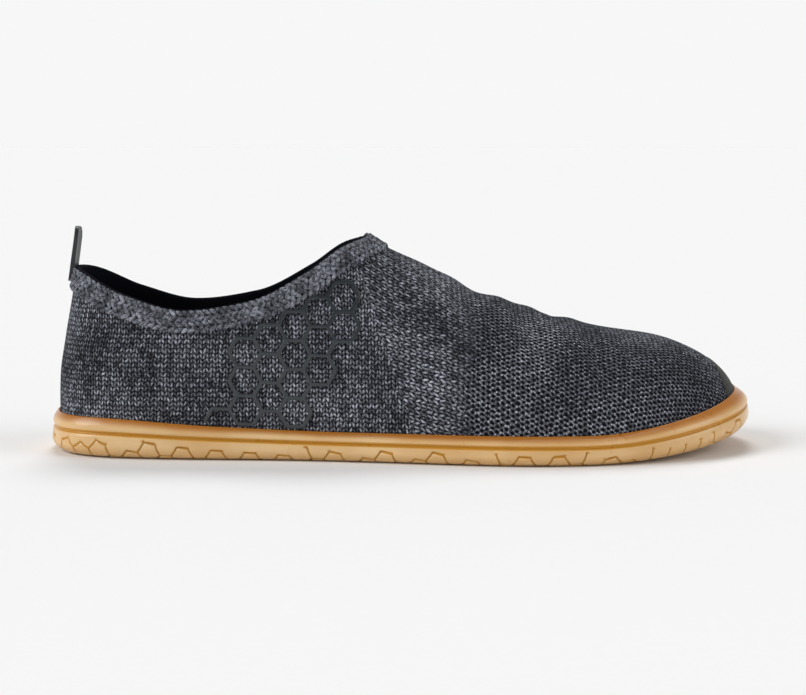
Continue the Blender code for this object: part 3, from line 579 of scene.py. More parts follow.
class Columns:
    """Upright lines round the shoe: where each stands on the outline, and the spine point it closes to."""

    def __init__(self, medial, shares):
        self.medial = np.asarray(medial, bool)
        self.share = np.asarray(shares, float)
        choose = self.medial[:, None]
        on_lateral, on_medial = LATERAL.at(self.share), MEDIAL.at(self.share)
        self.edge = np.where(choose, on_medial, on_lateral)
        self.out = np.where(choose, MEDIAL.out(self.share), LATERAL.out(self.share))
        mean_along = share_along((on_lateral[:, 0] + on_medial[:, 0]) / 2)
        between = soft_clamp((mean_along - HEEL_SPINE) / (TOE_SPINE - HEEL_SPINE))
        self.at = HEEL_SPINE + (TOE_SPINE - HEEL_SPINE) * between
        spine_y = MIDDLE_SHIFT + ridge_shift(self.at) * BALL_WIDTH / 2
        self.spine = np.stack([(self.at - 0.5) * LENGTH, spine_y], axis=1)
        full = np.where(self.medial, medial_full(self.at), lateral_full(self.at))
        from_tip = np.minimum(1, np.minimum(self.share, 1 - self.share) / TIP_BLEND)
        weight = 0.5 - 0.5 * np.cos(math.pi * from_tip)
        mean_full = (medial_full(self.at) + lateral_full(self.at)) / 2
        self.full = mean_full + weight * (full - mean_full)
        self.rise = section_rise(self.at)
        self.heel_share = 1 - smoothstep((self.at - HEEL_CURVE_FULL) / (HEEL_CURVE_END - HEEL_CURVE_FULL))

    def inset(self, distance):
        """Points this far inside the outline."""
        return self.edge - np.asarray(distance).reshape(-1, 1) * self.out

    def knit(self, angles):
        """Points on the upper's outside: angle 0 is on the cup's floor and a right angle on the ridge."""
        reach = np.cos(angles).clip(0) ** (2 / self.full[:, None])
        out = self.inset(CUP_WALL + FIT) - self.spine
        along = self.spine[:, :1] + reach * out[:, :1]
        base = upper_base(along)
        up = base + np.sin(angles).clip(0) ** (2 / self.rise[:, None]) * (ridge_up(along) - base)
        curve = 1 + self.heel_share[:, None] * (heel_reach((up - base) / HEEL_HEIGHT) - 1)
        plan = self.spine[:, None] + (curve * reach)[..., None] * out[:, None]
        return np.concatenate([plan, up[..., None]], axis=-1)

    def angle_where(self, below):
        """The angle at which each column first leaves below(points), or a right angle if it never does."""
        tries = np.linspace(0, math.pi / 2, COLUMN_SAMPLES)
        points = self.knit(np.tile(tries, (len(self.share), 1)))
        outside = ~below(points)
        crosses = outside.any(axis=1)
        first = np.where(crosses, outside.argmax(axis=1), COLUMN_SAMPLES - 1)
        low = tries[np.maximum(0, first - 1)]
        high = tries[first]
        for _ in range(BISECTIONS):
            middle = (low + high) / 2
            inside = below(self.knit(middle[:, None]))[:, 0]
            low = np.where(inside, middle, low)
            high = np.where(inside, high, middle)
        return np.where(crosses, low, math.pi / 2)

    def collar_angle(self):
        """Where each column meets the top line. From the throat forwards it runs up to the ridge."""
        angle = self.angle_where(lambda p: p[..., 2] < collar_height(share_along(p[..., 0])))
        return np.where(self.at >= THROAT, math.pi / 2, angle)

    def rim_up(self):
        """Height of the cup's rim at each column."""
        x = self.edge[:, 0]
        return tread_up(x) + rim_height(share_along(x))

    def knit_at(self, up):
        """Points on the upper's outside at these heights."""
        up = np.asarray(up).reshape(-1, 1)
        return self.knit(self.angle_where(lambda p: p[..., 2] < up)[:, None])[:, 0]


def throat_share():
    """The share of the outline whose columns close exactly at the throat."""
    low, high = 0.0, 1.0
    for _ in range(THROAT_BISECTIONS):
        middle = (low + high) / 2
        if Columns([False], [middle]).at[0] < THROAT:
            low = middle
        else:
            high = middle
    return high


THROAT_SHARE = throat_share()


def ring_of_columns(shares):
    """Columns in order round the shoe: from the heel along the lateral side to the toe, and back."""
    back = shares[-2:0:-1]
    medial = [False] * len(shares) + [True] * len(back)
    return Columns(medial, np.concatenate([shares, back]))


def add_object(name, data):
    """A new object in the scene."""
    obj = bpy.data.objects.new(name, data)
    bpy.context.scene.collection.objects.link(obj)
    return obj


def tree_of(places):
    """A search tree of places, where a flat one lies at height 0."""
    tree = KDTree(len(places))
    for i, place in enumerate(places):
        tree.insert((*place, 0)[:3], i)
    tree.balance()
    return tree


def distances(points, tree):
    """How far each point of a grid is from the nearest place in the tree."""
    near = [tree.find(point)[2] for point in points.reshape(-1, 3)]
    return np.array(near).reshape(points.shape[:-1])


class Mesh:
    """Gathers grids of points and faces, with named numbers and UV places for each point, in one object."""

    def __init__(self):
        self.points, self.faces, self.slots = [], [], []
        self.values, self.count = {}, 0

    def add(self, points, **values):
        """Adds points of any grid shape and gives back their indices in the same shape."""
        points = np.asarray(points, float)
        shape = points.shape[:-1]
        index = self.count + np.arange(int(np.prod(shape))).reshape(shape)
        self.points.append(points.reshape(-1, 3))
        self.values_for(index.size, values)
        self.count += index.size
        return index

    def values_for(self, size, values):
        """Keeps each named number for the new points, with 0 where a name isn't given."""
        for name, value in values.items():
            if name not in self.values:
                self.values[name] = [np.zeros(self.count)]
            self.values[name].append(np.broadcast_to(np.asarray(value, float).reshape(-1), size))
        for name in self.values:
            if name not in values:
                self.values[name].append(np.zeros(size))

    def quads(self, low, high):
        """Faces between two closed rows of indices."""
        for i in range(len(low)):
            j = (i + 1) % len(low)
            self.face((low[i], low[j], high[j], high[i]))

    def face(self, corners, slot=0):
        """One face with its material slot."""
        self.faces.append(tuple(int(c) for c in corners))
        self.slots.append(slot)

    def build(self, name, uv_maps=()):
        """The object: points closer than the weld become one, and faces that lose their area go."""
        points = np.concatenate(self.points)
        values = {key: np.concatenate(parts) for key, parts in self.values.items()}
        keys = np.round(points / WELD).astype(np.int64)
        _, first, merged = np.unique(keys, axis=0, return_index=True, return_inverse=True)
        merged = merged.reshape(-1)
        faces, slots, corners = [], [], []
        seen = set()
        for face, slot in zip(self.faces, self.slots):
            kept = [c for n, c in enumerate(face) if merged[c] != merged[face[n - 1]]]
            ids = tuple(int(merged[c]) for c in kept)
            key = tuple(sorted(ids))
            if len(set(ids)) < 3 or key in seen:
                continue
            seen.add(key)
            faces.append(ids)
            slots.append(slot)
            corners.extend(kept)
        mesh = bpy.data.meshes.new(name)
        mesh.from_pydata(points[first].tolist(), [], faces)
        mesh.polygons.foreach_set("material_index", slots)
        corners = np.array(corners)
        for map_name, (across, along) in uv_maps:
            layer = mesh.uv_layers.new(name=map_name)
            places = np.stack([values[across][corners], values[along][corners]], axis=1)
            layer.data.foreach_set("uv", places.astype(np.float32).ravel())
        used = {part for _, parts in uv_maps for part in parts}
        for key, value in values.items():
            if key in used:
                continue
            attribute = mesh.attributes.new(key, "FLOAT", "POINT")
            attribute.data.foreach_set("value", value[first].astype(np.float32))
        mesh.shade_smooth()
        mesh.validate()
        return add_object(name, mesh)


def face_outwards(obj):
    """Turns a closed mesh's faces outwards."""
    edit = bmesh.new()
    edit.from_mesh(obj.data)
    bmesh.ops.recalc_face_normals(edit, faces=edit.faces)
    edit.to_mesh(obj.data)
    edit.free()


def finish_piece(obj, replaced, materials):
    """Gives a piece its materials and its body, and hides the imported nodes that it stands for."""
    if not obj.data.polygons:
        raise RuntimeError(f"{obj.name} came out without faces")
    obj.data.materials.clear()
    for material in materials:
        obj.data.materials.append(material)
    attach(obj, "root")
    if replaced:
        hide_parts(*replaced)


# Materials

class Shader:
    """Short names for adding and joining shader nodes."""

    def __init__(self, tree):
        self.tree = tree
        self.nodes = tree.nodes
        self.links = tree.links

    def node(self, kind, **settings):
        """A new node with its settings."""
        made = self.nodes.new(kind)
        for name, value in settings.items():
            setattr(made, name, value)
        return made

    def feed(self, socket, value):
        """Joins an output to the socket, or sets the socket's number or colour."""
        if isinstance(value, bpy.types.NodeSocket):
            self.links.new(value, socket)
        elif isinstance(value, Colour):
            socket.default_value = (*value, 1)
        else:
            socket.default_value = value

    def math(self, operation, *values, clamp=False):
        """The result of a sum on outputs or numbers."""
        made = self.node("ShaderNodeMath", operation=operation, use_clamp=clamp)
        for socket, value in zip(made.inputs, values):
            self.feed(socket, value)
        return made.outputs[0]

    def ramp(self, value, low, high, start=0.0, end=1.0):
        """A smooth step of value from low to high."""
        made = self.node("ShaderNodeMapRange", interpolation_type="SMOOTHSTEP")
        for socket, part in zip(made.inputs, (value, low, high, start, end)):
            self.feed(socket, part)
        return made.outputs[0]

    def mix(self, share, first, second):
        """A colour between two colours."""
        made = self.node("ShaderNodeMix", data_type="RGBA")
        self.feed(made.inputs["Factor"], share)
        self.feed(made.inputs[6], first)
        self.feed(made.inputs[7], second)
        return made.outputs[2]

    def attribute(self, name):
        """A number that the mesh carries at its points."""
        return self.node("ShaderNodeAttribute", attribute_name=name).outputs["Fac"]

    def noise(self, place, scale, detail=2.0, roughness=0.5):
        """Cloudy variation round 0.5."""
        made = self.node("ShaderNodeTexNoise")
        self.feed(made.inputs["Vector"], place)
        made.inputs["Scale"].default_value = scale
        made.inputs["Detail"].default_value = detail
        made.inputs["Roughness"].default_value = roughness
        return made.outputs["Fac"]

    def object_place(self):
        """The place on the piece, in metres."""
        return self.node("ShaderNodeTexCoord").outputs["Object"]

    def bump(self, height, distance):
        """The normal of a surface with this relief."""
        made = self.node("ShaderNodeBump")
        self.feed(made.inputs["Height"], height)
        made.inputs["Distance"].default_value = distance
        made.inputs["Strength"].default_value = 1.0
        return made.outputs["Normal"]


def new_material(name, **sockets):
    """A material with its surface shader, whose plain numbers are set on the shader itself."""
    material = bpy.data.materials.new(name)
    material.use_nodes = True
    surface = material.node_tree.nodes["Principled BSDF"]
    for socket, value in sockets.items():
        surface.inputs[socket.replace("_", " ")].default_value = value
    return material, Shader(material.node_tree), surface


def new_group(name, inputs, outputs):
    """A node group with these numbers going in and out, and its still empty tree."""
    group = bpy.data.node_groups.new(name, "ShaderNodeTree")
    for way, sockets in (("INPUT", inputs), ("OUTPUT", outputs)):
        for socket in sockets:
            group.interface.new_socket(socket, in_out=way, socket_type="NodeSocketFloat")
    return group, Shader(group)


def stitch_group():
    """Node group: rows of V stitches. It gives their height, and one tone for each stitch."""
    sizes = ("Across", "Along", "Width", "Height", "Slant")
    group, s = new_group("V stitches", sizes, ("Relief", "Tone"))
    given = s.node("NodeGroupInput").outputs
    across = s.math("DIVIDE", given["Across"], given["Width"])
    along = s.math("DIVIDE", given["Along"], given["Height"])
    from_middle = s.math("ABSOLUTE", s.math("SUBTRACT", s.math("FRACT", across), 0.5))
    turned = s.math("ADD", along, s.math("MULTIPLY", from_middle, given["Slant"]))
    leg = s.math("MULTIPLY", s.math("SUBTRACT", from_middle, 0.25), 4.0)
    round_across = s.math("SUBTRACT", 1.0, s.math("MULTIPLY", leg, leg), clamp=True)
    step = s.math("SUBTRACT", s.math("MULTIPLY", s.math("FRACT", turned), 2.0), 1.0)
    round_along = s.math("SUBTRACT", 1.0, s.math("MULTIPLY", step, step), clamp=True)
    plump_across = s.math("POWER", round_across, LEG_ROUNDNESS)
    plump_along = s.math("POWER", round_along, LEG_END_ROUNDNESS)
    relief = s.math("MULTIPLY", plump_across, plump_along)
    cell = s.node("ShaderNodeCombineXYZ")
    s.feed(cell.inputs[0], s.math("FLOOR", s.math("MULTIPLY", across, 2.0)))
    s.feed(cell.inputs[1], s.math("FLOOR", turned))
    white = s.node("ShaderNodeTexWhiteNoise", noise_dimensions="2D")
    s.feed(white.inputs["Vector"], cell.outputs[0])
    result = s.node("NodeGroupOutput").inputs
    s.feed(result["Relief"], relief)
    s.feed(result["Tone"], white.outputs["Value"])
    return group


def hole_group():
    """Node group: staggered small holes in a knitted mesh. It gives the height of the yarn round them."""
    group, s = new_group("Mesh holes", ("Across", "Along", "Width", "Height"), ("Relief",))
    given = s.node("NodeGroupInput").outputs
    along = s.math("DIVIDE", given["Along"], given["Height"])
    row = s.math("FLOOR", along)
    shift = s.math("MULTIPLY", s.math("FLOORED_MODULO", row, 2.0), 0.5)
    across = s.math("ADD", s.math("DIVIDE", given["Across"], given["Width"]), shift)
    side = s.math("SUBTRACT", s.math("FRACT", across), 0.5)
    up = s.math("SUBTRACT", s.math("FRACT", along), 0.5)
    wide = s.math("DIVIDE", side, HOLE_HALF_WIDTH)
    high = s.math("DIVIDE", up, HOLE_HALF_HEIGHT)
    squared = s.math("ADD", s.math("MULTIPLY", wide, wide), s.math("MULTIPLY", high, high))
    relief = s.ramp(s.math("SQRT", squared), HOLE_FLOOR, HOLE_BRIM)
    s.feed(s.node("NodeGroupOutput").inputs["Relief"], relief)
    return group


def placed_group(s, group, **values):
    """The outputs of a node group with its inputs given by name."""
    made = s.node("ShaderNodeGroup", node_tree=group)
    for name, value in values.items():
        s.feed(made.inputs[name], value)
    return made.outputs


def knit_material(looks):
    """Slate and near-black yarn: open mesh on the vamp, chunky V stitches at the instep, finer behind. The
    yarn's colour darkens with its relief: painted shade between the stitches and in the holes.
    """
    material, s, surface = new_material("knit_yarn", **YARN_SURFACE)
    stitches, holes = stitch_group(), hole_group()

    place = s.object_place()
    uneven = s.noise(place, YARN_WANDER_GRAIN).node.outputs["Color"]

    def flat_layout(name):
        """The two numbers of a flat layout of the knit, pushed about a little."""
        pushed = s.node("ShaderNodeVectorMath", operation="MULTIPLY_ADD")
        s.feed(pushed.inputs[0], uneven)
        pushed.inputs[1].default_value = (looks.unevenness, looks.unevenness, 0)
        s.feed(pushed.inputs[2], s.node("ShaderNodeUVMap", uv_map=name).outputs[0])
        places = s.node("ShaderNodeSeparateXYZ")
        s.feed(places.inputs[0], pushed.outputs[0])
        return places.outputs[0], places.outputs[1]

    vamp_along, vamp_across = flat_layout("vamp")
    quarter_round, quarter_up = flat_layout("quarter")
    width, height, pitch = looks.stitch_width, looks.stitch_height, looks.mesh_pitch
    mesh_height = pitch * MESH_HEIGHT_SHARE
    mesh = placed_group(s, holes, Across=vamp_across, Along=vamp_along, Width=pitch, Height=mesh_height)
    fine = placed_group(
        s, stitches, Across=vamp_along, Along=vamp_across,
        Width=mesh_height, Height=pitch * MESH_YARN_SHARE, Slant=MESH_SLANT,
    )
    chunky = placed_group(
        s, stitches, Across=vamp_across, Along=vamp_along, Width=width, Height=height, Slant=INSTEP_SLANT
    )
    quarter = placed_group(
        s, stitches, Across=quarter_round, Along=quarter_up,
        Width=width * QUARTER_WIDTH_SHARE, Height=height * QUARTER_HEIGHT_SHARE, Slant=QUARTER_SLANT,
    )
    band = placed_group(
        s, stitches, Across=s.attribute("below_top"), Along=quarter_round,
        Width=RIB_HEIGHT / 2, Height=looks.collar_pitch, Slant=COLLAR_SLANT,
    )
    patches = s.noise(place, YARN_PATCH_GRAIN, 3.0)
    flecks = s.noise(place, YARN_FLECK_GRAIN, 2.0, 0.7)
    ahead = s.math("ADD", s.attribute("ahead"), s.math("MULTIPLY", patches, MESH_START_WANDER))
    open_mesh = s.ramp(ahead, MESH_START, MESH_FULL)
    behind = s.ramp(s.attribute("gore"), -SEAM_BLEND, SEAM_BLEND, 1.0, 0.0)
    in_band = s.ramp(s.attribute("below_top"), RIB_HEIGHT, RIB_HEIGHT - BAND_BLEND)
    film = s.ramp(s.attribute("film"), *FILM_EDGE)

    def blend(share, first, second):
        """A number between two numbers."""
        made = s.node("ShaderNodeMix", data_type="FLOAT")
        for number, value in ((0, share), (2, first), (3, second)):
            s.feed(made.inputs[number], value)
        return made.outputs[0]

    mesh_yarn = s.math("MULTIPLY", fine["Relief"], 1 - MESH_YARN_FLOOR)
    mesh_yarn = s.math("ADD", MESH_YARN_FLOOR, mesh_yarn)
    mesh_relief = s.math("MULTIPLY", mesh["Relief"], mesh_yarn)
    relief = blend(open_mesh, chunky["Relief"], mesh_relief)
    tone = blend(open_mesh, chunky["Tone"], fine["Tone"])
    relief = blend(behind, relief, quarter["Relief"])
    tone = blend(behind, tone, quarter["Tone"])
    relief = blend(in_band, relief, band["Relief"])
    tone = blend(in_band, tone, band["Tone"])
    each_stitch = s.math("ADD", STITCH_DARKEST, s.math("MULTIPLY", tone, 1 - STITCH_DARKEST))
    # Painted shade: the colour darkens with the relief, between the stitch legs and in the mesh holes. The
    # tone of each stitch is the yarn's own
    lit = s.math("MULTIPLY", s.math("POWER", relief, YARN_SHADING), each_stitch)
    fleck = s.ramp(flecks, *KNIT_FLECKS)
    patch = s.ramp(patches, *KNIT_PATCHES)
    light = s.math("MULTIPLY", s.math("MULTIPLY", lit, fleck), patch, clamp=True)
    # The share of slate yarn carries the painted shade of the relief as well as the yarn's real flecks and
    # patches
    yarn = s.mix(light, Colour(*looks.knit_dark), Colour(*looks.knit_light))
    s.feed(surface.inputs["Base Color"], s.mix(film, yarn, Colour(*looks.film_colour)))
    s.feed(surface.inputs["Roughness"], s.ramp(film, *FILM_ROUGHNESS))
    depth = s.math("MULTIPLY", relief, s.ramp(film, *FILM_FLATNESS))
    fuzz = s.math("ADD", depth, s.math("MULTIPLY", flecks, YARN_FLECK_SHARE))
    s.feed(surface.inputs["Normal"], s.bump(fuzz, looks.stitch_relief))
    return material


def collar_yarn_material(looks):
    """The same two yarns, plied, on the chunky stitches of the collar."""
    material, s, surface = new_material("collar_yarn", **YARN_SURFACE)
    place = s.object_place()
    flecks = s.noise(place, PLY_GRAIN, 2.0, 0.7)
    patches = s.noise(place, PLY_PATCH_GRAIN, 2.0)
    fleck = s.ramp(flecks, *PLY_FLECKS)
    patch = s.ramp(patches, *PLY_PATCHES)
    yarn = s.mix(s.math("MULTIPLY", fleck, patch), Colour(*looks.knit_dark), Colour(*looks.knit_light))
    s.feed(surface.inputs["Base Color"], yarn)
    s.feed(surface.inputs["Normal"], s.bump(flecks, PLY_BUMP))
    return material


def lining_material():
    """Near-black brushed lining inside the shoe."""
    material, s, surface = new_material(
        "lining", Roughness=0.95, Specular_IOR_Level=0.15, Sheen_Weight=0.15
    )
    weave = s.noise(s.object_place(), LINING_GRAIN, 2.0, 0.6)
    s.feed(surface.inputs["Base Color"], s.mix(weave, LINING_DARK, LINING_LIGHT))
    s.feed(surface.inputs["Normal"], s.bump(weave, LINING_BUMP))
    return material


def gum_material(looks):
    """Slightly translucent gum rubber: pale on the band, painted shade in deep orange on the slope beside
    the knit, and golden in grooves with painted shade.
    """
    material, s, surface = new_material(
        "gum_rubber", Roughness=0.34, Specular_IOR_Level=0.5, Coat_Weight=0.22, Coat_Roughness=0.16,
        Subsurface_Weight=0.22, Subsurface_Scale=0.0045,
    )
    surface.inputs["Subsurface Radius"].default_value = GUM_SCATTER
    place = s.object_place()
    cloud = s.noise(place, GUM_CLOUD_GRAIN, 3.0)
    push = s.math("MULTIPLY", s.math("SUBTRACT", cloud, 0.5), GUM_WANDER)
    wandering = s.math("ADD", s.attribute("rise"), push)
    band = s.mix(s.ramp(cloud, *GUM_CLOUDS), Colour(*looks.gum_light), Colour(*looks.gum_middle))
    body = s.mix(s.ramp(wandering, *GUM_LOW), band, Colour(*looks.gum_middle))
    # Painted shade: deep orange on the bead's inward slope beside the knit
    body = s.mix(s.ramp(wandering, *GUM_SLOPE_SHADE), body, Colour(*looks.gum_slope_shade))
    # The grooves get the rubber's golden tone, deepened by painted shade
    in_groove = s.ramp(s.attribute("groove"), *GUM_GROOVES)
    s.feed(surface.inputs["Base Color"], s.mix(in_groove, body, Colour(*looks.gum_groove_and_shade)))
    grain = s.noise(place, GUM_FINE_GRAIN, 2.0)
    gloss = s.noise(place, GUM_GLOSS_GRAIN, 3.0)
    s.feed(surface.inputs["Roughness"], s.ramp(gloss, *GUM_ROUGHNESS))
    lumps = s.math("ADD", grain, s.math("MULTIPLY", cloud, GUM_LUMPS))
    s.feed(surface.inputs["Normal"], s.bump(lumps, GUM_BUMP))
    return material


def print_material(name, dark, light):
    """Glossy film of the honeycomb print, in the two colours given: dark for its faces, paler for its
    rounded edges as a painted highlight.
    """
    material, s, surface = new_material(
        name, Roughness=0.32, Specular_IOR_Level=0.45, Coat_Weight=0.25, Coat_Roughness=0.10
    )
    cloud = s.noise(s.object_place(), PRINT_CLOUD_GRAIN, 3.0)
    s.feed(surface.inputs["Base Color"], s.mix(cloud, dark, light))
    s.feed(surface.inputs["Roughness"], s.ramp(cloud, *PRINT_ROUGHNESS))
    s.feed(surface.inputs["Normal"], s.bump(s.noise(s.object_place(), PRINT_FINE_GRAIN), PRINT_BUMP))
    return material


def tab_material(name, dark, light):
    """Smooth black coated tape of the pull tab, in the two colours given: paler ones for its rounded edges
    as a painted highlight.
    """
    material, s, surface = new_material(name, Roughness=0.42, Specular_IOR_Level=0.45)
    cloud = s.noise(s.object_place(), TAB_CLOUD_GRAIN, 3.0)
    s.feed(surface.inputs["Base Color"], s.mix(cloud, dark, light))
    s.feed(surface.inputs["Normal"], s.bump(s.noise(s.object_place(), TAB_FINE_GRAIN), TAB_BUMP))
    return material


def footbed_material():
    """Black knitted cover of the footbed."""
    material, s, surface = new_material(
        "footbed_cover", Roughness=0.92, Specular_IOR_Level=0.2, Sheen_Weight=0.15
    )
    weave = s.node("ShaderNodeTexBrick")
    s.feed(weave.inputs["Vector"], s.object_place())
    weave.inputs["Scale"].default_value = COVER_WEAVE_GRAIN
    s.feed(weave.inputs["Color1"], COVER_LIGHT)
    s.feed(weave.inputs["Color2"], COVER_DARK)
    s.feed(weave.inputs["Mortar"], COVER_GAP)
    s.feed(surface.inputs["Base Color"], weave.outputs["Color"])
    s.feed(surface.inputs["Normal"], s.bump(weave.outputs["Color"], COVER_BUMP))
    return material


# The knitted upper

def along_column(points):
    """Length run along each column of points."""
    steps = np.linalg.norm(np.diff(points, axis=1), axis=2)
    return np.concatenate([np.zeros((len(points), 1)), np.cumsum(steps, axis=1)], axis=1)


def grid_normals(points, faces):
    """Smooth outward normals at the points of a closed grid whose seams have points on the same place."""
    normals = np.zeros_like(points)
    quad = points[faces]
    face_normal = np.cross(quad[:, 2] - quad[:, 0], quad[:, 3] - quad[:, 1])
    for corner in range(4):
        np.add.at(normals, faces[:, corner], face_normal)
    keys = np.round(points / WELD).astype(np.int64)
    _, merged = np.unique(keys, axis=0, return_inverse=True)
    merged = merged.reshape(-1)
    summed = np.zeros((merged.max() + 1, 3))
    np.add.at(summed, merged, normals)
    normals = summed[merged]
    return normals / np.maximum(np.linalg.norm(normals, axis=1, keepdims=True), TINIEST)


class KnitSurface:
    """The upper's outside as a grid of columns and rows, with what its stitches and folds need to know."""

    def __init__(self):
        back = THROAT_SHARE * np.linspace(0, 1, BACK_COLUMNS + 1)
        front = THROAT_SHARE + (1 - THROAT_SHARE) * np.linspace(0, 1, FRONT_COLUMNS + 1)[1:]
        self.columns = ring_of_columns(np.concatenate([back, front]))
        columns = self.columns
        self.is_back = columns.share <= THROAT_SHARE + TINY
        top = columns.collar_angle()
        self.place_rows(top)
        self.measure(top)

    def place_rows(self, top):
        """Rows from the cup's floor to the rim, then evenly spaced up to the top line or the ridge."""
        columns = self.columns
        rim_up = columns.rim_up()[:, None]
        rim = columns.angle_where(lambda p: p[..., 2] < rim_up)
        tries = top[:, None] * np.linspace(0, 1, COLUMN_SAMPLES)[None]
        run = along_column(columns.knit(tries))
        under_rim = np.array([np.interp(r, t, length) for r, t, length in zip(rim, tries, run)])
        hem = np.where(self.is_back, KNIT / 2, 0.0)
        shares = np.linspace(0, 1, KNIT_ROWS + 1)
        angles = []
        for t, length, low, trim in zip(tries, run, under_rim, hem):
            above = low + shares[1:] * (length[-1] - trim - low)
            wanted = np.concatenate([[0, low * 0.5, low * 0.9], above])
            angles.append(np.interp(wanted, length, t))
        self.angles = np.array(angles)
        self.points = columns.knit(self.angles)
        count, rows = self.points.shape[:2]
        index = np.arange(count * rows).reshape(count, rows)
        beside = np.roll(index, -1, axis=0)
        faces = np.stack([index[:, :-1], beside[:, :-1], beside[:, 1:], index[:, 1:]], axis=-1)
        normals = grid_normals(self.points.reshape(-1, 3), faces.reshape(-1, 4))
        self.normals = normals.reshape(self.points.shape)

    def measure(self, top):
        """Numbers at each point: the two flat layouts of the knit, and distances to seams and edges."""
        columns, points = self.columns, self.points
        run = along_column(points)
        to_ridge = np.linspace(0, math.pi / 2, COLUMN_SAMPLES)
        whole = along_column(columns.knit(np.tile(to_ridge, (len(columns.share), 1))))[:, -1]
        out = columns.edge - columns.spine
        out /= np.linalg.norm(out, axis=1, keepdims=True)
        unrolled = columns.spine[:, None] + (whole[:, None] - run)[..., None] * out[:, None]
        self.vamp_along, self.vamp_across = unrolled[..., 0], unrolled[..., 1]
        length = np.where(columns.medial, MEDIAL.length, -LATERAL.length)
        self.quarter_round = np.broadcast_to((length * columns.share)[:, None], run.shape)
        self.quarter_up = run
        top_line = columns.knit(top[:, None])[:, 0][self.is_back]
        self.below_top = distances(points, tree_of(top_line))
        prints = [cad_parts[f"honeycomb_print_{side}"].data for side in ("lateral", "medial")]
        corners = [corner.co for print_mesh in prints for corner in print_mesh.vertices]
        self.off_print = distances(points, tree_of(corners))
        self.ahead = share_along(points[..., 0])
        self.gore = (self.ahead - GORE_FOOT + GORE_LEAN * points[..., 2] / LENGTH) * LENGTH
        tip = LENGTH / 2 - points[..., 0]
        aside = points[..., 1] - TIP_SIDE
        self.film = smoothstep((FILM_LENGTH - tip - FILM_CURVE * aside * aside) / FILM_BLEND + 0.5)

    def bend(self):
        """How far the whole wall, lining and all, stands off the plain last: rib, slack and folds."""
        x, y, z = (self.points[..., k] for k in range(3))
        rib = RIB_STEP * smoothstep((RIB_HEIGHT - self.below_top) / STEP_BLEND + 0.5)
        slack = np.sin(x / SLACK_LONG + SLACK_START) * np.sin(z / SLACK_HIGH + x / SLACK_DRIFT)
        slack += SLACK_SECOND * np.sin(x / SLACK_SHORT - y / SLACK_ACROSS + SLACK_SECOND_START)
        return rib + self.free() * (SLACK * slack + fold_lift(self.points))

    def free(self):
        """1 where the knit may fold: above the cup's rim, below the ribbed band and away from the prints."""
        above_rim = (self.points[..., 2] - self.columns.rim_up()[:, None]) / RIM_FADE
        free = smoothstep(above_rim) * smoothstep(self.below_top / RIB_HEIGHT)
        return free * smoothstep((self.off_print - PRINT_MARGIN) / PRINT_FADE)

    def lift(self):
        """How far the outside stands off the plain last: the bend of the wall, the toe film and the seam."""
        seam = -SEAM_DEPTH * np.exp(-((self.gore / SEAM_WIDTH) ** 2))
        return self.bend() + FILM_STEP * self.film + self.free() * seam


def fold_lift(points):
    """Soft troughs with a low ridge on each side."""
    total = np.zeros(points.shape[:-1])
    for fold in FOLDS:
        if fold.view == "top":
            flat = points[..., :2]
            ends = [((a - 0.5) * LENGTH, b * BALL_WIDTH / 2) for a, b in (fold.start, fold.end)]
            shown = np.ones(points.shape[:-1])
        else:
            flat = points[..., [0, 2]]
            ends = [((a - 0.5) * LENGTH, b * INSTEP_HEIGHT) for a, b in (fold.start, fold.end)]
            shown = smoothstep(fold.side * points[..., 1] / FOLD_SIDE_FADE)
        start, end = np.array(ends[0]), np.array(ends[1])
        line = end - start
        share = ((flat - start) @ line) / (line @ line)
        held = np.clip(share, 0, 1)
        away = np.linalg.norm(flat - start - held[..., None] * line, axis=-1) / fold.width
        taper = smoothstep(share / FOLD_TAPER) * smoothstep((1 - share) / FOLD_TAPER)
        ridge = np.exp(-(((away - FOLD_RIDGE_AWAY) / FOLD_RIDGE_WIDTH) ** 2))
        total += fold.depth * shown * taper * (FOLD_RIDGE * ridge - np.exp(-(away**2)))
    return total


def make_upper(surface):
    """The knitted upper as one closed wall: outside, rolled hem, lining inside and the edge in the cup."""
    mesh = Mesh()
    points, normals = surface.points, surface.normals
    lift = surface.lift()
    outside = points + lift[..., None] * normals
    inner_rows = np.unique(np.linspace(0, points.shape[1] - 1, INNER_ROWS + 1).round().astype(int))
    inside = (points + (surface.bend() - KNIT)[..., None] * normals)[:, inner_rows]
    numbers = {
        "vamp_x": surface.vamp_along, "vamp_y": surface.vamp_across,
        "round_x": surface.quarter_round, "round_y": surface.quarter_up,
        "ahead": surface.ahead, "gore": surface.gore, "film": surface.film,
    }
    outer = mesh.add(outside, below_top=surface.below_top, **numbers)
    inner = mesh.add(inside)
    count = len(points)
    for i in range(count):
        j = (i + 1) % count
        for line, slot, turn in ((outer, 0, 1), (inner, 1, -1)):
            for k in range(line.shape[1] - 1):
                face = (line[i, k], line[j, k], line[j, k + 1], line[i, k + 1])
                mesh.face(face[::turn], slot)
        mesh.face((outer[j, 0], outer[i, 0], inner[i, 0], inner[j, 0]), 1)
    hem = hem_rows(outside[:, -1], inside[:, -1], surface.is_back)
    at_top = {name: value[:, -1] for name, value in numbers.items()}
    rows = [outer[:, -1]]
    for row in hem:
        rows.append(mesh.add(row, below_top=0.0, **at_top))
    rows.append(inner[:, -1])
    for i in range(count):
        j = (i + 1) % count
        if surface.is_back[i] and surface.is_back[j]:
            for low, high in zip(rows, rows[1:]):
                mesh.face((low[i], low[j], high[j], high[i]), 0)
    layouts = (("vamp", ("vamp_x", "vamp_y")), ("quarter", ("round_x", "round_y")))
    return mesh.build("upper_knit", layouts)


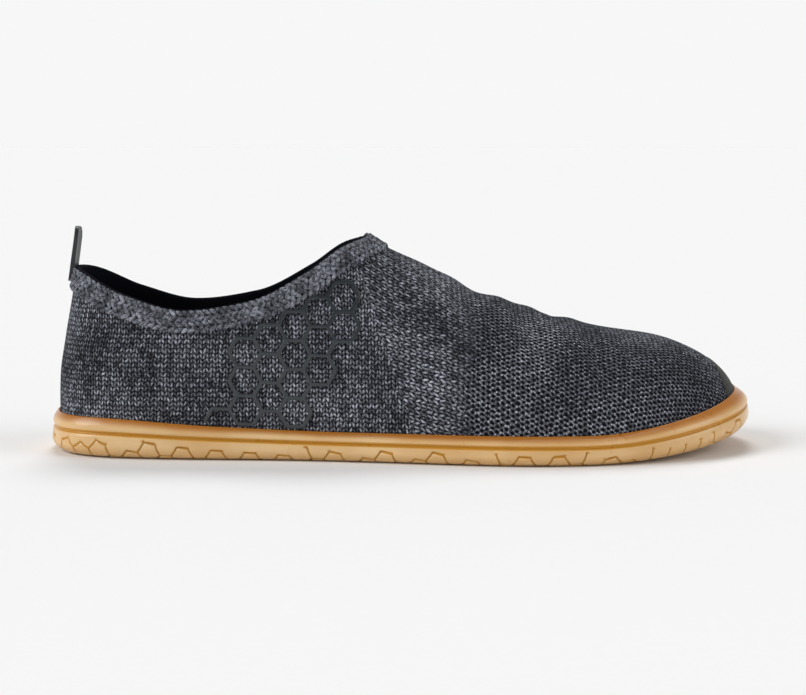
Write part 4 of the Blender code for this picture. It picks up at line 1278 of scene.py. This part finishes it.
def hem_rows(outer, inner, is_back):
    """Rows of a round edge between the outside and the inside of the top line."""
    loop = np.flatnonzero(is_back)
    lateral = loop[loop <= BACK_COLUMNS]
    medial = loop[loop > BACK_COLUMNS]
    order = np.concatenate([lateral, medial])
    middle = (outer + inner) / 2
    half = outer - middle
    ring = middle[order]
    tangent = np.roll(ring, -1, axis=0) - np.roll(ring, 1, axis=0)
    rise = np.zeros_like(outer)
    rise[order] = np.cross(tangent, half[order])
    rise /= np.maximum(np.linalg.norm(rise, axis=1, keepdims=True), TINIEST)
    rise *= np.sign(rise[:, 2:3] + TINY)
    size = np.linalg.norm(half, axis=1, keepdims=True)
    rows = []
    for turn in np.linspace(0, math.pi, HEM_ROWS + 2)[1:-1]:
        rows.append(middle + math.cos(turn) * half + math.sin(turn) * size * rise)
    return rows


# The chunky stitches along the collar

def collar_guides(surface, pitch):
    """Places, normals and directions of the stitch legs, in two rows of V stitches below the top line."""
    lift = surface.lift()
    outside = surface.points + lift[..., None] * surface.normals
    guides = []
    for depth in STITCH_ROW_DEPTHS:
        line, normal = [], []
        for i in path_order(surface):
            near = surface.below_top[i]
            rows = np.flatnonzero(near[:-1] >= depth)
            if near.min() > depth or len(rows) == 0:
                continue
            k = rows[-1]
            t = (near[k] - depth) / max(near[k] - near[k + 1], TINY)
            line.append(outside[i, k] + t * (outside[i, k + 1] - outside[i, k]))
            normal.append(surface.normals[i, k])
        guides.append(even_steps(np.array(line), np.array(normal), pitch))
    return guides


def path_order(surface):
    """Columns from the front of the throat, along the lateral side, round the heel and forward again."""
    count = len(surface.points)
    toe = BACK_COLUMNS + FRONT_COLUMNS
    return list(range(toe, -1, -1)) + list(range(count - 1, toe - 1, -1))


def even_steps(line, normal, pitch):
    """The closed line cut into equal steps near the pitch: points, unit normals and unit directions."""
    line = np.concatenate([line, line[:1]])
    normal = np.concatenate([normal, normal[:1]])
    run = np.concatenate([[0], np.cumsum(np.linalg.norm(np.diff(line, axis=0), axis=1))])
    count = int(round(run[-1] / pitch))
    wanted = np.linspace(0, run[-1], count, endpoint=False)
    points = np.stack([np.interp(wanted, run, line[:, k]) for k in range(3)], axis=1)
    normals = np.stack([np.interp(wanted, run, normal[:, k]) for k in range(3)], axis=1)
    ahead = np.roll(points, -1, axis=0) - np.roll(points, 1, axis=0)
    ahead /= np.linalg.norm(ahead, axis=1, keepdims=True)
    normals /= np.linalg.norm(normals, axis=1, keepdims=True)
    return points, normals, ahead


def stitch_tree():
    """Geometry nodes: one plump yarn leg on each guide point, lying forwards and leaning its way."""
    tree = bpy.data.node_groups.new("Yarn legs", "GeometryNodeTree")
    face = tree.interface
    face.new_socket("Geometry", in_out="OUTPUT", socket_type="NodeSocketGeometry")
    face.new_socket("Geometry", in_out="INPUT", socket_type="NodeSocketGeometry")
    face.new_socket("Size", in_out="INPUT", socket_type="NodeSocketVector")
    face.new_socket("Lean", in_out="INPUT", socket_type="NodeSocketFloat")
    face.new_socket("Seed", in_out="INPUT", socket_type="NodeSocketInt")
    face.new_socket("Material", in_out="INPUT", socket_type="NodeSocketMaterial")
    s = Shader(tree)
    given = s.node("NodeGroupInput").outputs
    ball = s.node("GeometryNodeMeshUVSphere")
    ball.inputs["Segments"].default_value = LEG_SEGMENTS
    ball.inputs["Rings"].default_value = LEG_RINGS
    ball.inputs["Radius"].default_value = 0.5
    shaped = s.node("GeometryNodeTransform")
    s.feed(shaped.inputs["Geometry"], ball.outputs["Mesh"])
    s.feed(shaped.inputs["Scale"], given["Size"])

    def carried(name, kind):
        """What each guide point carries under this name."""
        read = s.node("GeometryNodeInputNamedAttribute", data_type=kind)
        read.inputs["Name"].default_value = name
        return read.outputs["Attribute"]

    upright = s.node("FunctionNodeAlignRotationToVector", axis="Z")
    s.feed(upright.inputs["Vector"], carried("facing", "FLOAT_VECTOR"))
    turned = s.node("FunctionNodeAlignRotationToVector", axis="X", pivot_axis="Z")
    s.feed(turned.inputs["Rotation"], upright.outputs["Rotation"])
    s.feed(turned.inputs["Vector"], carried("forward", "FLOAT_VECTOR"))
    lean = s.node("FunctionNodeAxisAngleToRotation")
    lean.inputs["Axis"].default_value = (0, 0, 1)
    s.feed(lean.inputs["Angle"], s.math("MULTIPLY", carried("hand", "FLOAT"), given["Lean"]))
    leaning = s.node("FunctionNodeRotateRotation", rotation_space="LOCAL")
    s.feed(leaning.inputs["Rotation"], turned.outputs["Rotation"])
    s.feed(leaning.inputs["Rotate By"], lean.outputs["Rotation"])
    jitter = s.node("FunctionNodeRandomValue", data_type="FLOAT")
    jitter.inputs[2].default_value = LEG_SMALLEST
    jitter.inputs[3].default_value = LEG_LARGEST
    s.feed(jitter.inputs["Seed"], given["Seed"])
    placed = s.node("GeometryNodeInstanceOnPoints")
    s.feed(placed.inputs["Points"], given["Geometry"])
    s.feed(placed.inputs["Instance"], shaped.outputs["Geometry"])
    s.feed(placed.inputs["Rotation"], leaning.outputs["Rotation"])
    s.feed(placed.inputs["Scale"], jitter.outputs[1])
    real = s.node("GeometryNodeRealizeInstances")
    s.feed(real.inputs["Geometry"], placed.outputs["Instances"])
    smooth = s.node("GeometryNodeSetShadeSmooth")
    s.feed(smooth.inputs[0], real.outputs["Geometry"])
    painted = s.node("GeometryNodeSetMaterial")
    s.feed(painted.inputs["Geometry"], smooth.outputs[0])
    s.feed(painted.inputs["Material"], given["Material"])
    s.feed(s.node("NodeGroupOutput").inputs[0], painted.outputs["Geometry"])
    return tree


def grown(name, guide, tree, values):
    """The plain mesh that a geometry nodes tree makes of a guide, with its inputs given by name."""
    grow = guide.modifiers.new("Grow", "NODES")
    grow.node_group = tree
    for item in tree.interface.items_tree:
        if item.in_out == "INPUT" and item.name in values:
            grow[item.identifier] = values[item.name]
    guide.update_tag()
    ready = guide.evaluated_get(bpy.context.evaluated_depsgraph_get())
    mesh = bpy.data.meshes.new_from_object(ready)
    if not mesh.polygons:
        raise RuntimeError(f"{name} grew nothing")
    guide.modifiers.remove(grow)
    bpy.data.objects.remove(guide)
    mesh.name = name
    return add_object(name, mesh)


def make_collar_stitches(surface, looks):
    """Two rows of chunky V stitches round the collar, as yarn legs."""
    points, facing, forward, hand = [], [], [], []
    for places, normals, ahead in collar_guides(surface, looks.collar_pitch):
        across = np.cross(normals, ahead)
        for way in (1, -1):
            points.append(places + way * LEG_SPREAD * across + LEG_LIFT * normals)
            facing.append(normals)
            forward.append(ahead)
            hand.append(np.full(len(places), float(way)))
    mesh = bpy.data.meshes.new("collar_guides")
    mesh.from_pydata(np.concatenate(points).tolist(), [], [])
    for name, kind, rows in (
        ("facing", "FLOAT_VECTOR", np.concatenate(facing)),
        ("forward", "FLOAT_VECTOR", np.concatenate(forward)),
        ("hand", "FLOAT", np.concatenate(hand)),
    ):
        attribute = mesh.attributes.new(name, kind, "POINT")
        field = "vector" if kind == "FLOAT_VECTOR" else "value"
        attribute.data.foreach_set(field, rows.astype(np.float32).ravel())
    guide = add_object("collar_guides", mesh)
    material = collar_yarn_material(looks)
    size = (looks.collar_pitch * LEG_LENGTH_SHARE, LEG_WIDTH, LEG_HEIGHT)
    values = {"Size": size, "Lean": math.radians(LEG_LEAN), "Seed": LEG_SEED, "Material": material}
    return grown("collar_stitches", guide, stitch_tree(), values), material


# The cup sole

class SoleColumns:
    """Columns round the sole with the sizes of its edge, band and rim."""

    def __init__(self, columns):
        self.columns = columns
        along = share_along(columns.edge[:, 0])
        scale = edge_scale(along)
        self.rim = rim_height(along)
        self.edge_in, self.edge_up = EDGE_IN * scale, EDGE_UP * scale
        self.band = self.rim * BAND_SHARE
        self.arc = math.pi / 2 * np.sqrt((self.edge_in**2 + self.edge_up**2) / 2)
        self.reach = self.arc + self.band - GROOVE_HEIGHT / 2 - WRAP_MARGIN - self.edge_up

    def plan(self, inset):
        """Points this far inside the outline, seen from above."""
        return self.columns.inset(inset)

    def outside(self, inset, up):
        """Points of the outer wall at an inset from the outline and a height above the tread."""
        plan = self.plan(inset)
        settle = PAD_PROUD * (1 - up / self.rim)
        return np.stack([plan[:, 0], plan[:, 1], tread_up(plan[:, 0]) + up - settle], axis=1)

    def wrapped(self, arc, depth):
        """Points arc metres past the tread's edge, measured round the lower edge, and depth deep."""
        turn = np.clip(arc / self.arc, 0, 1) * math.pi / 2
        above = np.maximum(0, arc - self.arc)
        lean = BAND_LEAN * above / np.maximum(self.reach - self.arc, NO_REACH)
        inset = self.edge_in * (1 - np.sin(turn)) + lean + depth * np.sin(turn)
        up = self.edge_up * (1 - np.cos(turn)) + above + depth * np.cos(turn)
        return self.outside(inset, up)


def hexagon(centre, radius):
    """Corners of a cell whose flats run along the shoe."""
    turns = [math.radians(60 * k) for k in range(6)]
    return [(centre[0] + radius * math.cos(t), centre[1] + radius * math.sin(t)) for t in turns]


def tread_centres():
    """Centres of the honeycomb cells over the whole unrolled sole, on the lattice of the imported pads."""
    beyond = 3 * CELL
    step_x, step_y = 1.5 * CELL, math.sqrt(3) * CELL
    most_x = math.ceil((HALF + beyond) / step_x)
    most_y = math.ceil((BALL_WIDTH / 2 + beyond) / step_y)
    centres = []
    for i in range(-most_x, most_x + 1):
        for j in range(-most_y, most_y + 1):
            centres.append((i * step_x, (j + 0.5 * (i % 2)) * step_y))
    return centres


class Unrolled:
    """Finds, for places on the unrolled sole, the column beside them and how far past the tread they are."""

    def __init__(self):
        shares = np.linspace(0, 1, OUTLINE_SAMPLES // 2)
        self.base = ring_of_columns(shares)
        self.tree = tree_of(self.base.edge)

    def find(self, places):
        """The sole's columns at the nearest outline points, and each place's arc past the tread's edge."""
        places = np.asarray(places, float)
        near = np.array([self.tree.find((x, y, 0))[1] for x, y in places])
        columns = Columns(self.base.medial[near], self.base.share[near])
        away = places - columns.edge
        tangent = np.stack([-columns.out[:, 1], columns.out[:, 0]], axis=1)
        columns.edge = columns.edge + (away * tangent).sum(axis=1)[:, None] * tangent
        sole = SoleColumns(columns)
        beyond = (away * columns.out).sum(axis=1) + sole.edge_in
        return sole, beyond * WRAP_STRETCH


def tread_lines(unrolled):
    """The lattice lines that are cut into the sole, as pairs of node keys, and each node's place."""
    nodes, lines = {}, set()
    for centre in tread_centres():
        ring = []
        for x, y in hexagon(centre, CELL):
            key = (round(x * NODE_GRID), round(y * NODE_GRID))
            nodes[key] = (x, y)
            ring.append(key)
        lines |= {tuple(sorted((ring[k], ring[(k + 1) % 6]))) for k in range(6)}
    keys = list(nodes)
    sole, arc = unrolled.find([nodes[key] for key in keys])
    limit = sole.arc + CLIMB * sole.band - sole.edge_up
    low = {key for key, here, most in zip(keys, arc, limit) if here < most}
    return sorted(line for line in lines if line[0] in low and line[1] in low), nodes


def tread_surface(unrolled, ring_sole):
    """The unrolled underside, edge and lower band, cut along rings and honeycomb lines."""
    lines, nodes = tread_lines(unrolled)
    points, edges, known = [], set(), {}

    def place(x, y):
        """The number of this point, which is added once."""
        key = (round(x * PLACE_GRID), round(y * PLACE_GRID))
        if key not in known:
            known[key] = len(points)
            points.append((x, y))
        return known[key]

    arcs = [ring_sole.arc * k / EDGE_STEPS for k in range(EDGE_STEPS + 1)]
    rise = ring_sole.reach - ring_sole.arc
    arcs += [ring_sole.arc + rise * k / BAND_STEPS for k in range(1, BAND_STEPS + 1)]
    count = len(ring_sole.rim)
    rings = []
    for arc in arcs[::-1]:
        plan = ring_sole.plan(ring_sole.edge_in - arc / WRAP_STRETCH)
        start = len(points)
        points += [tuple(p) for p in plan]
        rings.append(list(range(start, start + count)))
    for ring in rings[1:]:
        edges |= {(ring[k], ring[(k + 1) % count]) for k in range(count)}
    ends = {}
    for first, second in lines:
        (x1, y1), (x2, y2) = nodes[first], nodes[second]
        along = ((x2 - x1) / CELL, (y2 - y1) / CELL)
        ends.setdefault(first, []).append(along)
        ends.setdefault(second, []).append((-along[0], -along[1]))
        edges.add((place(x1, y1), place(x2, y2)))
        for reach in GROOVE_REACHES:
            for hand in (1, -1):
                corners = []
                for x, y, way in ((x1, y1, 1), (x2, y2, -1)):
                    turn = hand * math.radians(60)
                    dx = way * along[0] * math.cos(turn) - along[1] * math.sin(turn)
                    dy = way * along[1] * math.cos(turn) + along[0] * math.sin(turn)
                    corners.append(place(x + reach * dx, y + reach * dy))
                edges.add(tuple(corners))
    for key, ways in ends.items():
        if len(ways) == 1:
            x, y = nodes[key]
            for reach in GROOVE_REACHES:
                place(x - reach * ways[0][0], y - reach * ways[0][1])
    coords, _, faces, origins, _, _ = delaunay_2d_cdt(
        [Vector(p) for p in points], sorted(edges), [rings[0]], 1, CUT_TOLERANCE
    )
    coords = np.array([tuple(c) for c in coords])
    segments = [(nodes[a], nodes[b]) for a, b in lines]
    on_ring = {}
    for i, origin in enumerate(origins):
        for source in origin:
            if source < count * len(arcs):
                on_ring[i] = (source % count, source // count)
    return coords, faces, segments, on_ring, arcs[::-1]


def groove_share(places, segments):
    """How deep each place lies in a groove: 1 on a line, falling to 0 at the groove's edge."""
    starts = np.array([s for s, _ in segments])
    ends = np.array([e for _, e in segments])
    tree = tree_of((starts + ends) / 2)
    nearest = np.array([[i for _, i, _ in tree.find_n((x, y, 0), NEAR_GROOVES)] for x, y in places])
    line = ends[nearest] - starts[nearest]
    away = places[:, None] - starts[nearest]
    share = np.clip((away * line).sum(axis=2) / (line * line).sum(axis=2), 0, 1)
    distance = np.linalg.norm(away - share[..., None] * line, axis=2).min(axis=1)
    return np.clip(1 - distance / (TREAD_GROOVE / 2), 0, 1)


def wall_rows(sole):
    """Rows of the sole's wall above the honeycomb: groove, bead, lip, and down into the cup."""
    columns = sole.columns
    rows = [sole.wrapped(sole.reach, np.zeros(len(sole.rim)))]
    for step in GROOVE_STEPS:
        share = np.clip((step + 0.5) / 1.5, 0, 1)
        dip = GROOVE_DEPTH * math.exp(-((GROOVE_SHARPNESS * step) ** 2))
        inset = BAND_LEAN + share * (BEAD_IN - BAND_LEAN) + dip
        rows.append(sole.outside(np.full(len(sole.rim), inset), sole.band + step * GROOVE_HEIGHT))
    rim_z = columns.rim_up()
    out = np.concatenate([columns.out, np.zeros((len(sole.rim), 1))], axis=1)
    up = np.array([0, 0, 1.0])
    inner = columns.knit_at(rim_z) + FIT * out
    outer = inner + LIP * out - LIP / 2 * up
    start = rows[-1]
    for share in np.linspace(0, 1, BEAD_STEPS + 1)[1:]:
        bulge = BEAD_BULGE * math.sin(math.pi * share**BEAD_CROWD)
        rows.append(start + share * (outer - start) + bulge * (out * BEAD_OUT + up * BEAD_UP))
    rows.append(inner + LIP * LIP_OUTER * out)
    rows.append(inner + LIP_INNER * LIP * out - LIP_INNER * LIP * up)
    foot_z = tread_up(sole.plan(CUP_WALL)[:, 0]) + FLOOR
    for share in CUP_WALL_STEPS:
        rows.append(columns.knit_at(foot_z + share * (rim_z - foot_z)) + FIT * out)
    foot = sole.plan(CUP_WALL)
    for share in CUP_FLOOR_STEPS:
        plan = columns.spine + share * (foot - columns.spine)
        rows.append(np.stack([plan[:, 0], plan[:, 1], tread_up(plan[:, 0]) + FLOOR], axis=1))
    return rows


def make_outsole():
    """The gum rubber cup sole, with its honeycomb cut into the tread and over the lower edge."""
    unrolled = Unrolled()
    ring_sole = SoleColumns(ring_of_columns(np.linspace(0, 1, SOLE_COLUMNS + 1)))
    coords, faces, segments, on_ring, arcs = tread_surface(unrolled, ring_sole)
    groove = groove_share(coords, segments)
    depth = TREAD_DEPTH * groove
    sole, arc = unrolled.find(coords)
    flat = np.stack([coords[:, 0], coords[:, 1], tread_up(coords[:, 0]) - PAD_PROUD + depth], axis=1)
    points = np.where((arc > 0)[:, None], sole.wrapped(arc, depth), flat)
    by_ring = [ring_sole.wrapped(a, np.zeros(len(ring_sole.rim))) for a in arcs]
    for i, (column, ring) in on_ring.items():
        if ring == 0:
            points[i] = by_ring[ring][column]
    mesh = Mesh()
    rise = np.where(arc > 0, np.clip(points[:, 2] - tread_up(points[:, 0]), 0, None) / sole.rim, 0)
    under = mesh.add(points, groove=groove, rise=rise)
    for face in faces:
        mesh.face([under[v] for v in face])
    rows = wall_rows(ring_sole)
    indices = []
    for row in rows:
        up = row[:, 2] - tread_up(row[:, 0])
        # The band's groove takes the groove colour: golden rubber with painted shade
        line = np.exp(-(((up - ring_sole.band) / (GROOVE_HEIGHT / 2)) ** 2))
        indices.append(mesh.add(row, groove=line, rise=np.clip(up / ring_sole.rim, 0, 1)))
    for low, high in zip(indices, indices[1:]):
        mesh.quads(low, high)
    obj = mesh.build("outsole_gum")
    face_outwards(obj)
    return obj


# Footbed, prints and pull tab

def make_footbed():
    """The footbed: a thin cushion with a rounded rim, dished a little under the foot."""
    columns = ring_of_columns(np.linspace(0, 1, FOOTBED_COLUMNS + 1))
    inset = CUP_WALL + FIT + KNIT + FOOTBED_FIT
    edge = columns.inset(inset)
    profile = [(share, 0.0) for share in FOOTBED_UNDER_STEPS]
    for turn in FOOTBED_RIM_TURNS:
        share = (1 + FOOTBED_SWELL) * (1 - FOOTBED_SWELL * math.cos(turn))
        profile.append((share, (FOOTBED + FOOTBED_LIP) * (0.5 + 0.5 * math.sin(turn))))
    for share in FOOTBED_TOP_STEPS:
        raised = smoothstep((share - FOOTBED_DISH) / (FOOTBED_DISH_END - FOOTBED_DISH))
        profile.append((share, FOOTBED + FOOTBED_LIP * raised))
    mesh = Mesh()
    rows = []
    for share, up in profile:
        plan = columns.spine + min(share, 1.0) * (edge - columns.spine)
        z = tread_up(plan[:, 0]) + FLOOR + SEAT + up
        rows.append(mesh.add(np.stack([plan[:, 0], plan[:, 1], z], axis=1)))
    for low, high in zip(rows, rows[1:]):
        mesh.quads(low, high)
    obj = mesh.build("footbed")
    face_outwards(obj)
    return obj


def softened_copy(node, name, radius):
    """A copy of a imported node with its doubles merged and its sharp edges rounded."""
    edit = bmesh.new()
    edit.from_mesh(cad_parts[node].data)
    bmesh.ops.remove_doubles(edit, verts=edit.verts, dist=DOUBLES)
    flat = math.radians(NEARLY_FLAT)
    bmesh.ops.dissolve_limit(edit, angle_limit=flat, verts=edit.verts, edges=edit.edges)
    edit.normal_update()
    sharp = math.radians(SHARP_EDGE)
    edges = [e for e in edit.edges if e.is_manifold and e.calc_face_angle() > sharp]
    # The rounded edges take the second material, whose paler colour is a painted highlight
    bmesh.ops.bevel(
        edit, geom=edges, offset=radius, segments=EDGE_SEGMENTS, profile=0.5, affect="EDGES",
        clamp_overlap=True, material=1,
    )
    bmesh.ops.triangulate(edit, faces=[f for f in edit.faces if len(f.verts) > 4])
    mesh = bpy.data.meshes.new(name)
    edit.to_mesh(mesh)
    edit.free()
    mesh.shade_smooth()
    return add_object(name, mesh)


# Settings that a user would change

class ShoeLooks(bpy.types.PropertyGroup):
    """Sizes and colours of the shoe's finish."""

    stitch_width: bpy.props.FloatProperty(
        name="Stitch width", description="Width of a chunky V stitch", default=0.0030, unit="LENGTH"
    )
    stitch_height: bpy.props.FloatProperty(
        name="Stitch height", description="Height of a chunky V stitch", default=0.0023, unit="LENGTH"
    )
    stitch_relief: bpy.props.FloatProperty(
        name="Stitch relief", description="How far the yarn stands out", default=0.0006, unit="LENGTH"
    )
    unevenness: bpy.props.FloatProperty(
        name="Unevenness", description="How far the yarn wanders from its rows", default=0.0016,
        unit="LENGTH",
    )
    mesh_pitch: bpy.props.FloatProperty(
        name="Mesh pitch", description="Distance between holes on the vamp", default=0.0021, unit="LENGTH"
    )
    collar_pitch: bpy.props.FloatProperty(
        name="Collar stitch pitch", description="Step between collar stitches", default=0.0027, unit="LENGTH"
    )
    knit_dark: bpy.props.FloatVectorProperty(
        name="Dark yarn", description="Near-black yarn", default=(0.0045, 0.005, 0.008), subtype="COLOR"
    )
    knit_light: bpy.props.FloatVectorProperty(
        name="Light yarn", description="Slate yarn", default=(0.53, 0.555, 0.635), subtype="COLOR"
    )
    film_colour: bpy.props.FloatVectorProperty(
        name="Toe film", description="Smooth film at the tip", default=(0.034, 0.035, 0.030), subtype="COLOR"
    )
    gum_light: bpy.props.FloatVectorProperty(
        name="Pale gum", description="Rubber of the band", default=(0.79, 0.54, 0.27), subtype="COLOR"
    )
    gum_middle: bpy.props.FloatVectorProperty(
        name="Middle gum", description="Cloudier rubber", default=(0.66, 0.395, 0.15), subtype="COLOR"
    )
    # Painted shade on the bead's slope beside the knit
    gum_slope_shade: bpy.props.FloatVectorProperty(
        name="Deep gum", description="Rubber beside the knit", default=(0.44, 0.155, 0.014), subtype="COLOR"
    )
    # Golden rubber of the grooves, with painted shade
    gum_groove_and_shade: bpy.props.FloatVectorProperty(
        name="Groove gum", description="Rubber in the grooves", default=(0.58, 0.27, 0.020), subtype="COLOR"
    )


class ShoeStage(bpy.types.PropertyGroup):
    """How the shoe is shown."""

    elevation: bpy.props.FloatProperty(
        name="Camera elevation", description="Angle above the floor", default=math.radians(6.5),
        subtype="ANGLE",
    )
    lens: bpy.props.FloatProperty(
        name="Lens", description="Focal length in millimetres", default=85.0, subtype="DISTANCE_CAMERA"
    )
    aim_height: bpy.props.FloatProperty(
        name="Aim height", description="Height that the camera looks at", default=0.040, unit="LENGTH"
    )
    floor_colour: bpy.props.FloatVectorProperty(
        name="Floor", description="Pale floor and backdrop", default=(0.889, 0.889, 0.889), subtype="COLOR"
    )


# One operator for each piece or group of pieces

class SHOE_OT_upper(bpy.types.Operator):
    """Knit the upper, with its lining and the chunky stitches round its collar"""

    bl_idname = "shoe.upper"
    bl_label = "Upper"

    def execute(self, context):
        looks = context.scene.shoe_looks
        surface = KnitSurface()
        upper = make_upper(surface)
        finish_piece(upper, ["upper"], [knit_material(looks), lining_material()])
        stitches, material = make_collar_stitches(surface, looks)
        finish_piece(stitches, [], [material])
        return {"FINISHED"}


class SHOE_OT_outsole(bpy.types.Operator):
    """Mould the gum rubber cup sole"""

    bl_idname = "shoe.outsole"
    bl_label = "Outsole"

    def execute(self, context):
        finish_piece(make_outsole(), ["outsole"], [gum_material(context.scene.shoe_looks)])
        return {"FINISHED"}


class SHOE_OT_footbed(bpy.types.Operator):
    """Lay the footbed in the cup"""

    bl_idname = "shoe.footbed"
    bl_label = "Footbed"

    def execute(self, context):
        finish_piece(make_footbed(), ["insole"], [footbed_material()])
        return {"FINISHED"}


class SHOE_OT_prints(bpy.types.Operator):
    """Print the raised honeycomb on both quarters"""

    bl_idname = "shoe.prints"
    bl_label = "Honeycomb prints"

    def execute(self, context):
        face = print_material("print_film", PRINT_DARK, PRINT_LIGHT)
        # Painted highlight: paler colours on the print's rounded edges
        edge = print_material("print_edge", PRINT_HIGHLIGHT_DARK, PRINT_HIGHLIGHT_LIGHT)
        for side in ("lateral", "medial"):
            node = f"honeycomb_print_{side}"
            film = softened_copy(node, f"print_{side}", PRINT_EDGE)
            finish_piece(film, [node], [face, edge])
        return {"FINISHED"}


class SHOE_OT_pull_tab(bpy.types.Operator):
    """Round the heel pull tab's edges"""

    bl_idname = "shoe.pull_tab"
    bl_label = "Pull tab"

    def execute(self, context):
        tab = softened_copy("heel_pull_tab", "pull_tab", TAB_EDGE)
        face = tab_material("tab_plastic", TAB_DARK, TAB_LIGHT)
        # Painted highlight: paler colours on the tab's rounded edges
        edge = tab_material("tab_edge", TAB_HIGHLIGHT_DARK, TAB_HIGHLIGHT_LIGHT)
        finish_piece(tab, ["heel_pull_tab"], [face, edge])
        return {"FINISHED"}


class SHOE_OT_stage(bpy.types.Operator):
    """Set up the floor, the soft lights and the camera"""

    bl_idname = "shoe.stage"
    bl_label = "Stage"

    def execute(self, context):
        stage = context.scene.shoe_stage
        make_floor(stage)
        make_lights()
        make_camera(context.scene, stage)
        return {"FINISHED"}


def make_floor(stage):
    """A pale round floor that meets the light tent at the horizon."""
    turns = np.linspace(0, 2 * math.pi, FLOOR_CORNERS, endpoint=False)
    mesh = Mesh()
    rim = np.stack([np.cos(turns), np.sin(turns), np.zeros(FLOOR_CORNERS)], axis=1) * FLOOR_RADIUS
    mesh.face(mesh.add(rim - (0, 0, FLOOR_DROP)))
    floor = mesh.build("floor")
    material, s, surface = new_material("studio_floor", Roughness=1.0, Specular_IOR_Level=0.0)
    grain = s.noise(s.object_place(), FLOOR_GRAIN)
    colour = Colour(*stage.floor_colour)
    darker = Colour(*(FLOOR_SHADE * part for part in colour))
    s.feed(surface.inputs["Base Color"], s.mix(grain, colour, darker))
    floor.data.materials.append(material)


def make_lights():
    """Soft lights on both sides and above, in a white tent whose sides are brighter than its top."""
    for number, light in enumerate(STUDIO_LIGHTS):
        data = bpy.data.lights.new(f"soft_light_{number}", "SUN")
        data.angle = math.radians(light.spread)
        data.energy = light.strength
        lamp = add_object(data.name, data)
        lamp.location = light.towards
        lamp.rotation_euler = Vector(light.towards).to_track_quat("Z", "Y").to_euler()
    world = bpy.data.worlds.new("light_tent")
    world.use_nodes = True
    s = Shader(world.node_tree)
    background = s.nodes["Background"]
    direction = s.node("ShaderNodeSeparateXYZ")
    s.feed(direction.inputs[0], s.node("ShaderNodeTexCoord").outputs["Generated"])
    tent = s.ramp(direction.outputs[2], TENT_FADE_START, TENT_FADE_END, TENT_SIDES, TENT_TOP)
    s.feed(background.inputs["Color"], tent)
    bpy.context.scene.world = world


def make_camera(scene, stage):
    """A camera that looks square at the shoe's outer side, a little from above, as the photo does."""
    data = bpy.data.cameras.new("photo_camera")
    data.lens = stage.lens
    data.sensor_width = SENSOR * 1000
    camera = add_object("photo_camera", data)
    seen_width = LENGTH * PHOTO_WIDTH / SHOE_WIDTH_IN_PHOTO
    distance = seen_width * stage.lens / data.sensor_width + BALL_WIDTH / 2
    aim = Vector((0, 0, stage.aim_height))
    back = Vector((0, -math.cos(stage.elevation), math.sin(stage.elevation)))
    camera.location = aim + distance * back
    camera.rotation_euler = (-back).to_track_quat("-Z", "Y").to_euler()
    scene.camera = camera
    scene.view_settings.view_transform = "Standard"


class SHOE_PT_panel(bpy.types.Panel):
    """The shoe's pieces, sizes and colours in the 3D view's sidebar"""

    bl_label = "Barefoot shoe"
    bl_idname = "SHOE_PT_panel"
    bl_space_type = "VIEW_3D"
    bl_region_type = "UI"
    bl_category = "Shoe"

    def draw(self, context):
        for operator in OPERATORS:
            self.layout.operator(operator.bl_idname)
        for group in (context.scene.shoe_looks, context.scene.shoe_stage):
            for name in group.__annotations__:
                self.layout.prop(group, name)


OPERATORS = (
    SHOE_OT_upper,
    SHOE_OT_outsole,
    SHOE_OT_footbed,
    SHOE_OT_prints,
    SHOE_OT_pull_tab,
    SHOE_OT_stage,
)
CLASSES = (ShoeLooks, ShoeStage, *OPERATORS, SHOE_PT_panel)


def register():
    """Adds the settings, operators and panel."""
    for cls in CLASSES:
        bpy.utils.register_class(cls)
    bpy.types.Scene.shoe_looks = bpy.props.PointerProperty(type=ShoeLooks)
    bpy.types.Scene.shoe_stage = bpy.props.PointerProperty(type=ShoeStage)


def unregister():
    """Takes the settings, operators and panel away again."""
    del bpy.types.Scene.shoe_stage
    del bpy.types.Scene.shoe_looks
    for cls in reversed(CLASSES):
        bpy.utils.unregister_class(cls)


def main():
    """Makes the pieces and the stage in order."""
    register()
    bpy.ops.shoe.upper()
    bpy.ops.shoe.outsole()
    bpy.ops.shoe.footbed()
    bpy.ops.shoe.prints()
    bpy.ops.shoe.pull_tab()
    bpy.ops.shoe.stage()


if __name__ == "__main__":
    main()
